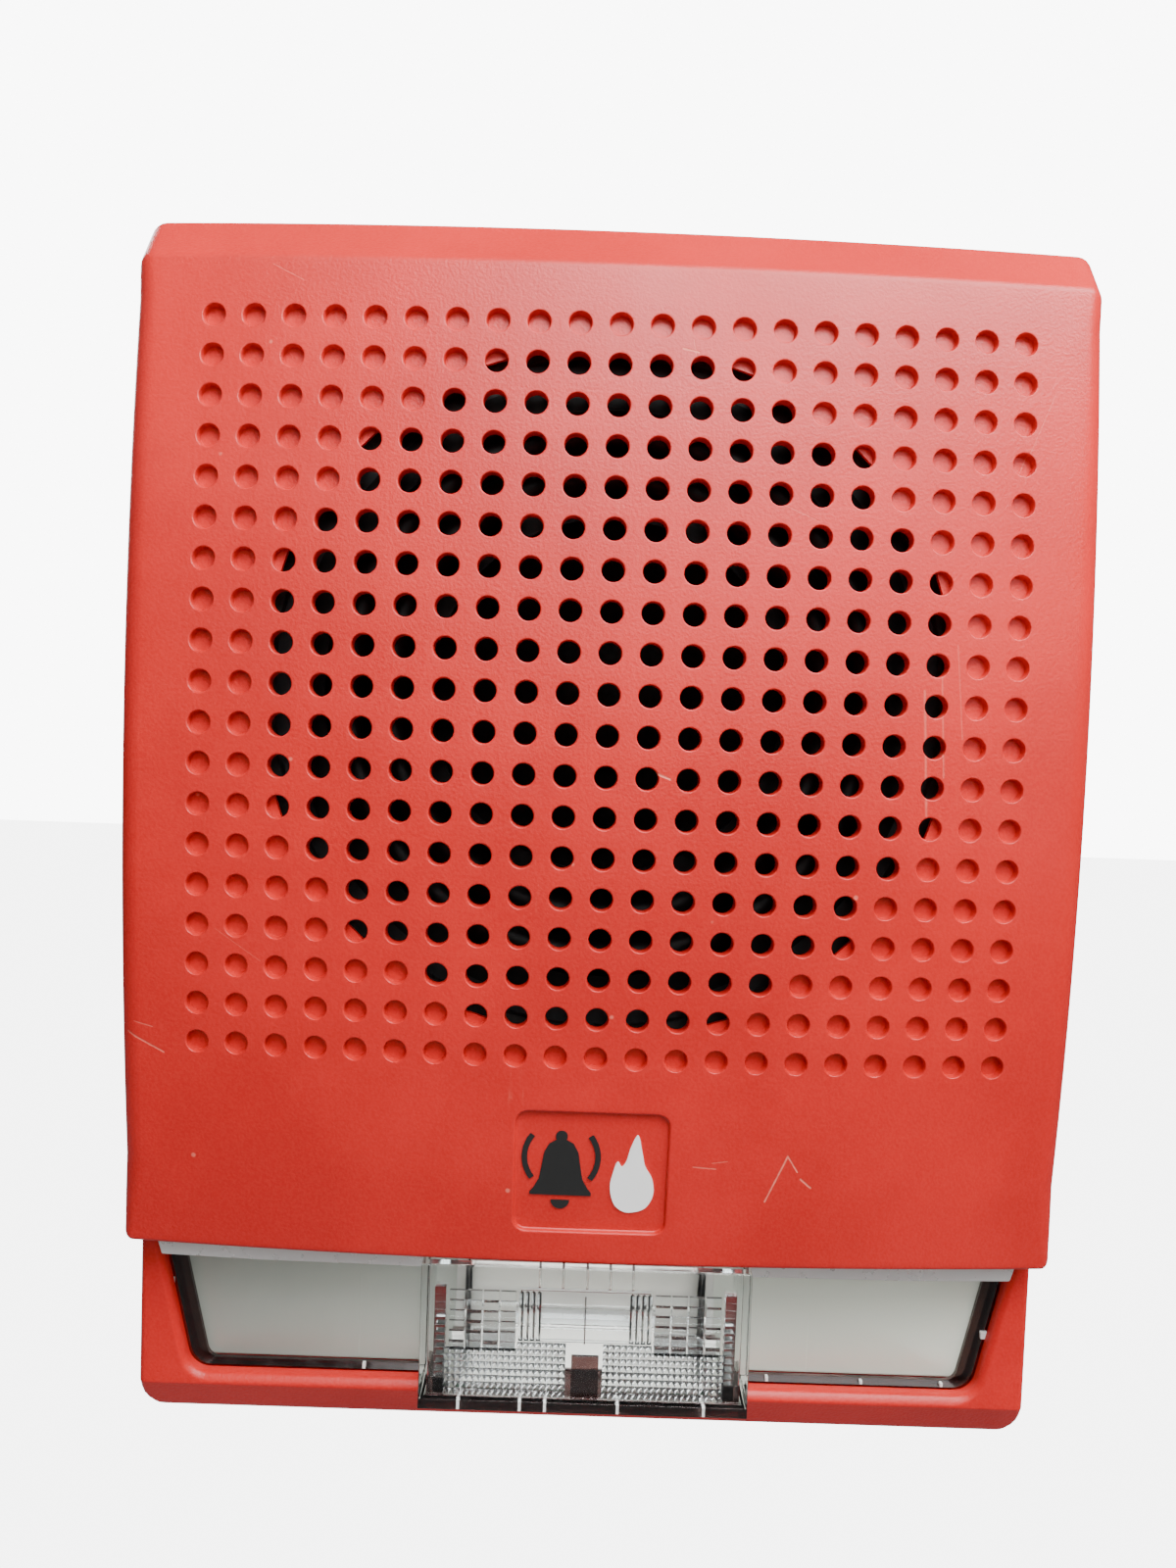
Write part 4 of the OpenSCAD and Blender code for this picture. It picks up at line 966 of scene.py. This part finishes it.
# ---------------- strobe
def make_window(made):
    """The clear moulding: ledge, skirt, and the hollow lens block with prisms on its front wall."""
    front = WINDOW_FRONT
    half, top, bottom, back = LENS_HALF_W, LENS_TOP, LENS_FOOT, WINDOW_BACK
    wall, side_wall = 1.8, 1.0
    y = front + wall + 0.02
    pieces = []

    def keep(skin, name, material, smooth_deg=30, bevel=0.0):
        pieces.append(skin_mesh(skin, name, made[material], smooth_deg=smooth_deg, bevel=bevel))

    # Lens shell: the front wall and two side walls, open at the back, the top and the foot
    shell = Skin()
    section = [(-half, back), (-half, front), (half, front), (half, back), (half - side_wall, back),
               (half - side_wall, front + wall), (-half + side_wall, front + wall), (-half + side_wall, back)]
    shell.solid(*([(px, py, z) for px, py in section] for z in (bottom, top)))
    keep(shell, "lens_block_shell", "block_lens", bevel=0.3)

    # Foot of the lens: the bottom wall, broken by short upright lights. Its dark tint is painted shade for
    # the shadowed red plastic seen through it
    foot, lights = Skin(), Skin()
    x = -half
    for gap in (-16.8, -8.5, -5.1, 4.7, 16.3, half):
        end = gap - 0.2 if gap < half else half
        foot.box((x, front + 0.15, LENS_BOTTOM), (end, -12.6, bottom))
        if gap < half:
            lights.box((end, front + 0.1, LENS_BOTTOM + 0.1), (gap + 0.2, -13.0, bottom))
        x = gap + 0.2
    for s in (-1, 1):
        x0, x1 = sorted((s * 18.9, s * (half - side_wall)))
        foot.box((x0, y, bottom + 0.02), (x1, -13.0, -92.6))
    foot.box((-1.7, y, bottom + 0.02), (2.0, y + 0.5, -89.2))
    foot.box((-0.11, y, -87.6), (0.07, y + 0.25, -81.0))
    for s in (-1, 1):
        for k, z in enumerate((-81.9, -83.3, -84.7, -86.1, -87.7)):
            for c, x in enumerate((9.5, 11.8, 14.1, 16.4)):
                if (k + c * 2 + (s > 0)) % 4:
                    x0, x1 = sorted((s * x, s * (x + 1.95)))
                    height = 0.18 + 0.13 * ((k * 3 + c + (s > 0)) % 3)
                    foot.box((x0, y + 0.1, z - height), (x1, y + 0.6, z))
    keep(foot, "lens_foot", "painted_shade_lens", bevel=0.08)

    # Prisms on the inside of the front wall
    prisms = Skin()
    for s in (-1, 1):
        for z, depth in ((-80.6, 0.7), (-82.0, 0.9), (-83.4, 1.1), (-84.8, 1.3), (-86.2, 1.5), (-87.6, 1.7)):
            for x in (9.4, 11.7, 14.0, 16.3):
                wedge(prisms, sorted((s * x, s * (x + 2.1))), z, z - 1.2, y, depth)
        for k in range(4):
            ridge(prisms, s * (6.3 + 0.8 * k), 0.62, -87.3, -80.6, y, 0.55)
        fine_grid(prisms, s, y)
    for x in (-6.3, -3.15, 0.1, 3.2, 6.3):
        ridge(prisms, x, 0.34, -79.9, -76.6, y, 0.5)
    for z in (-80.2, -87.2):
        prisms.box((-8.8, y, z - 0.12), (8.8, y + 0.35, z + 0.12))
    keep(prisms, "lens_prisms", "clear_lens", smooth_deg=20)

    # Toothed ribs at both ends
    ribs = Skin()
    for s in (-1, 1):
        for k in range(14):
            z = -80.2 - k * 1.05
            wedge(ribs, sorted((s * 18.9, s * 20.4)), z, z - 0.95, y, 1.8)
    keep(ribs, "lens_side_ribs", "clear_lens", smooth_deg=20)

    # Ledge strip under the step
    ledge = Skin()
    for s in (-1, 1):
        section = [(60.0, -76.9), (59.2, -79.5), (45.0, -79.9), (22.3, -80.1), (22.3, -76.9)]
        ledge.prism([(s * x, z) for x, z in section], -14.6, WINDOW_BACK)
    keep(ledge, "window_ledge", "ledge_lens", bevel=0.3)

    # Skirt between the frame and the panels, with small lights in it. Its dark tint is painted shade for the
    # shadowed gap behind it
    skirt = Skin()
    inner_loop = [(x, z) for x, _, z in opening_loop(-2.2, -0.75, -1.9, 1.8, 0)]
    outer_loop = [(x, z) for x, _, z in opening_loop(-0.1, 0.05, -0.3, OPENING_R - 0.1, 0)]
    loops = [
        skirt.add((x, -9.7, z) for x, z in outer_loop),
        skirt.add((x, -9.3, z) for x, z in inner_loop),
        skirt.add((x, -8.6, z) for x, z in inner_loop),
        skirt.add((x, -8.6, z) for x, z in outer_loop),
    ]
    skirt.chain(loops + loops[:1])
    keep(skirt, "window_skirt", "painted_shade_lens")
    for x, z, w, h in ((-31.4, -97.0, 0.22, 0.8), (-59.4, -85.6, 0.5, 1.1), (57.6, -89.6, 0.5, 1.0),
                       (26.6, -97.0, 0.2, 0.7), (40.2, -97.1, 0.2, 0.5), (51.8, -97.1, 0.2, 0.5)):
        lights.box((x - w, -10.2, z - h / 2), (x + w, -9.5, z + h / 2))
    keep(lights, "window_lights", "ledge_lens", bevel=0.06)

    for piece in pieces:
        settle(piece, "base", "clear_lens")
    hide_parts("strobe_window")


def make_dish(material):
    """The silvered trough behind the flash tube, with closed ends and a flat rim."""
    mid = (DISH_LOW.z + DISH_HIGH.z) / 2
    reach = (DISH_HIGH.z - DISH_LOW.z) / 2
    back, half, rim = -7.6, 16.3, 18.5
    depth = 5.6
    trough = Skin()
    steps = 16
    curve = [(back - depth * t * t, mid + reach * t) for t in (2 * k / steps - 1 for k in range(steps + 1))]
    outside = [(y + 0.5, z + (0.5 if z > mid else -0.5) * abs(z - mid) / reach) for y, z in curve]
    stations = [trough.add((x, y, z) for y, z in curve + outside[::-1]) for x in np.linspace(-half, half, 9)]
    trough.chain(stations)
    trough.face(stations[0][::-1])
    trough.face(stations[-1])
    for s in (-1, 1):
        x0, x1 = sorted((s * (half + 0.01), s * (half + 0.6)))
        outline = curve + [(back + 0.3, mid + reach * 0.2), (back + 0.3, mid - reach * 0.2)]
        trough.solid(*([(x, y, z) for y, z in outline] for x in (x0, x1)))
        x0, x1 = sorted((s * (half + 0.61), s * rim))
        trough.box((x0, -8.9, DISH_LOW.z - 0.4), (x1, -8.3, DISH_HIGH.z + 0.4))
    trough.box((-rim, -9.0, -78.4), (rim, -8.35, DISH_HIGH.z + 0.45))
    dish = skin_mesh(trough, "reflector_dish_shell", material, smooth_deg=35, bevel=0.1)
    settle(dish, "base", "dish_silver", "reflector_dish")


def wedge(skin, xs, z_top, z_bottom, y, depth):
    """A small prism behind the front wall: flat on top, sloping below."""
    section = [(y, z_top), (y, z_bottom), (y + depth, z_top - 0.12)]
    skin.solid(*([(x, py, pz) for py, pz in section] for x in xs))


def ridge(skin, x, width, z0, z1, y, depth):
    """An upright rib with a triangular section behind the front wall."""
    section = [(x - width / 2, y), (x + width / 2, y), (x, y + depth)]
    skin.solid(*([(px, py, z) for px, py in section] for z in (z0, z1)))


def fine_grid(skin, side, y):
    """Rows of small pyramids in the lower half of one side of the lens."""
    pitch_x, pitch_z = 0.83, 0.95
    for r in range(8):
        z = -87.9 - r * pitch_z
        for c in range(20):
            x = side * (2.5 + pitch_x * (c + 0.5))
            if r == 0 and abs(x) > 9.2:
                continue
            w, h = pitch_x * 0.48, pitch_z * 0.48
            corners = skin.add((x + a * w, y, z + b * h) for a, b in ((-1, -1), (1, -1), (1, 1), (-1, 1)))
            tip = skin.add([(x, y + 0.5, z + 0.1)])[0]
            skin.face(corners[::-1])
            for k in range(4):
                skin.face((corners[k], corners[(k + 1) % 4], tip))


def make_panels(material):
    """White panels on both sides of the dish, with rolled edges and a fine joint line."""
    for side, cad_node in ((-1, "reflector_panel_left"), (1, "reflector_panel_right")):
        low, high = box_mm(cad_node)
        inner_x = low.x if side > 0 else -high.x
        skin = Skin()
        loops = []
        for inset, y in ((0, low.y + 1.15), (0, low.y + 0.45), (0.12, low.y + 0.15), (0.42, low.y)):
            loops.append(skin.add((side * x, y, z) for x, z in panel_outline(inner_x, inset)))
        skin.chain(loops)
        skin.face(loops[-1])
        skin.face(loops[0][::-1])
        panel = skin_mesh(skin, cad_node + "_sheet", material, smooth_deg=50)
        settle(panel, "base", "panel_white", cad_node)
        line = Skin()
        x = side * 32.5
        line.box((x - 0.08, low.y - 0.05, -96.4), (x + 0.08, low.y + 0.1, -78.2))
        settle(skin_mesh(line, cad_node + "_joint", material, smooth_deg=30), "base", "panel_white")


def panel_outline(inner_x, inset):
    """The outline of the right panel, from its lower inner corner."""
    r = 1.8
    top, bottom = -77.6 - inset, -97.0 + inset
    top_x, bottom_x = 60.0 - inset, 55.5 - inset
    lean = math.degrees(math.atan((top_x - bottom_x) / (top - bottom)))
    sweep = 90 - lean
    cx = bottom_x - r * math.tan(math.radians(sweep) / 2)
    corner = arc_points(cx, bottom + r, r, -90, -90 + sweep, 8)
    return [(inner_x + inset, bottom), *corner, (top_x, top), (inner_x + inset, top)]


# ---------------- studio
def make_camera():
    """The camera in front of the cover, a little left of its middle and slightly turned."""
    place = Vector((-3.0, -174.76, -3.63)) * MM
    turn = Vector((math.radians(2.972), math.radians(-0.244), math.radians(2.02)))
    axes = Matrix.Rotation(turn.length, 3, turn.normalized()) @ Matrix(((1, 0, 0), (0, 0, -1), (0, 1, 0)))
    data = bpy.data.cameras.new("camera")
    data.lens = 27
    data.clip_start = 0.01
    camera = bpy.data.objects.new("camera", data)
    basis = Matrix((axes[0], -axes[1], -axes[2])).transposed().to_4x4()
    camera.matrix_world = Matrix.Translation(place) @ basis
    bpy.context.scene.collection.objects.link(camera)
    bpy.context.scene.camera = camera


def area_light(name, place, aim, size, power):
    """A soft rectangular lamp at place, pointing at aim, in metres."""
    data = bpy.data.lights.new(name, "AREA")
    data.shape = "RECTANGLE"
    data.size, data.size_y = size
    data.energy = power
    lamp = bpy.data.objects.new(name, data)
    lamp.location = place
    lamp.rotation_euler = (Vector(aim) - Vector(place)).to_track_quat("-Z", "Y").to_euler()
    bpy.context.scene.collection.objects.link(lamp)


def make_studio():
    """A pale floor, a white surround, and soft lamps from above and in front."""
    world = bpy.data.worlds.new("studio")
    world.use_nodes = True
    tree = world.node_tree
    around = tree.nodes["Background"]
    feed(around, "Strength", 0.16)
    up = along_axis(tree, node(tree, "TexCoord").outputs["Generated"], "Z")
    sky = mix_colour(tree, spread(tree, up, -0.35, 0.35), (0.05, 0.05, 0.05, 1), (1, 1, 1, 1))
    feed(around, "Color", sky)
    seen = node(tree, "Background", in_Color=(1, 1, 1, 1), in_Strength=9.0)
    both = by_ray(tree, "Is Camera Ray", around.outputs[0], seen.outputs[0])
    feed(tree.nodes["World Output"], "Surface", both)
    bpy.context.scene.world = world
    floor = Skin()
    floor.box((-3000, -3000, FLOOR_Z - 10), (3000, 3000, FLOOR_Z))
    material, tree, bsdf = new_material("floor")
    shade = mix_colour(tree, noise(tree, 3.0), (0.22, 0.22, 0.22, 1), (0.25, 0.25, 0.25, 1))
    fill(bsdf, Base_Color=shade, Roughness=0.8)
    pale = node(tree, "Emission", in_Color=(1, 1, 1, 1), in_Strength=6.0)
    both = by_ray(tree, "Is Camera Ray", bsdf.outputs[0], pale.outputs[0])
    feed(tree.nodes["Material Output"], "Surface", both)
    skin_mesh(floor, "floor", material)
    area_light("overhead", (0.16, -0.24, 0.32), (0.03, 0, 0.05), (0.5, 0.2), 5.4)
    area_light("behind_camera", (0.14, -0.70, 0.30), (0, 0, 0), (0.6, 0.5), 3.6)
    area_light("rear", (-0.25, 0.60, 0.30), (0, 0, 0), (0.6, 0.5), 9.0)


def assign_materials(made):
    """Gives every CAD node the material of its slot."""
    slots = {part["node"]: part["material_slot"] for part in frame["record"]["subparts"]}
    for name, obj in frame["nodes"].items():
        if not obj.data.materials:
            obj.data.materials.append(None)
        for k in range(len(obj.material_slots)):
            obj.material_slots[k].material = made[slots[name]]


make_camera()
finishes = materials()
assign_materials(finishes)
make_cover(finishes["cover_red"])
make_hooks(finishes["cover_red"])
make_pictogram(finishes)
make_window(finishes)
make_dish(finishes["dish_silver"])
make_panels(finishes["panel_white"])
make_studio()
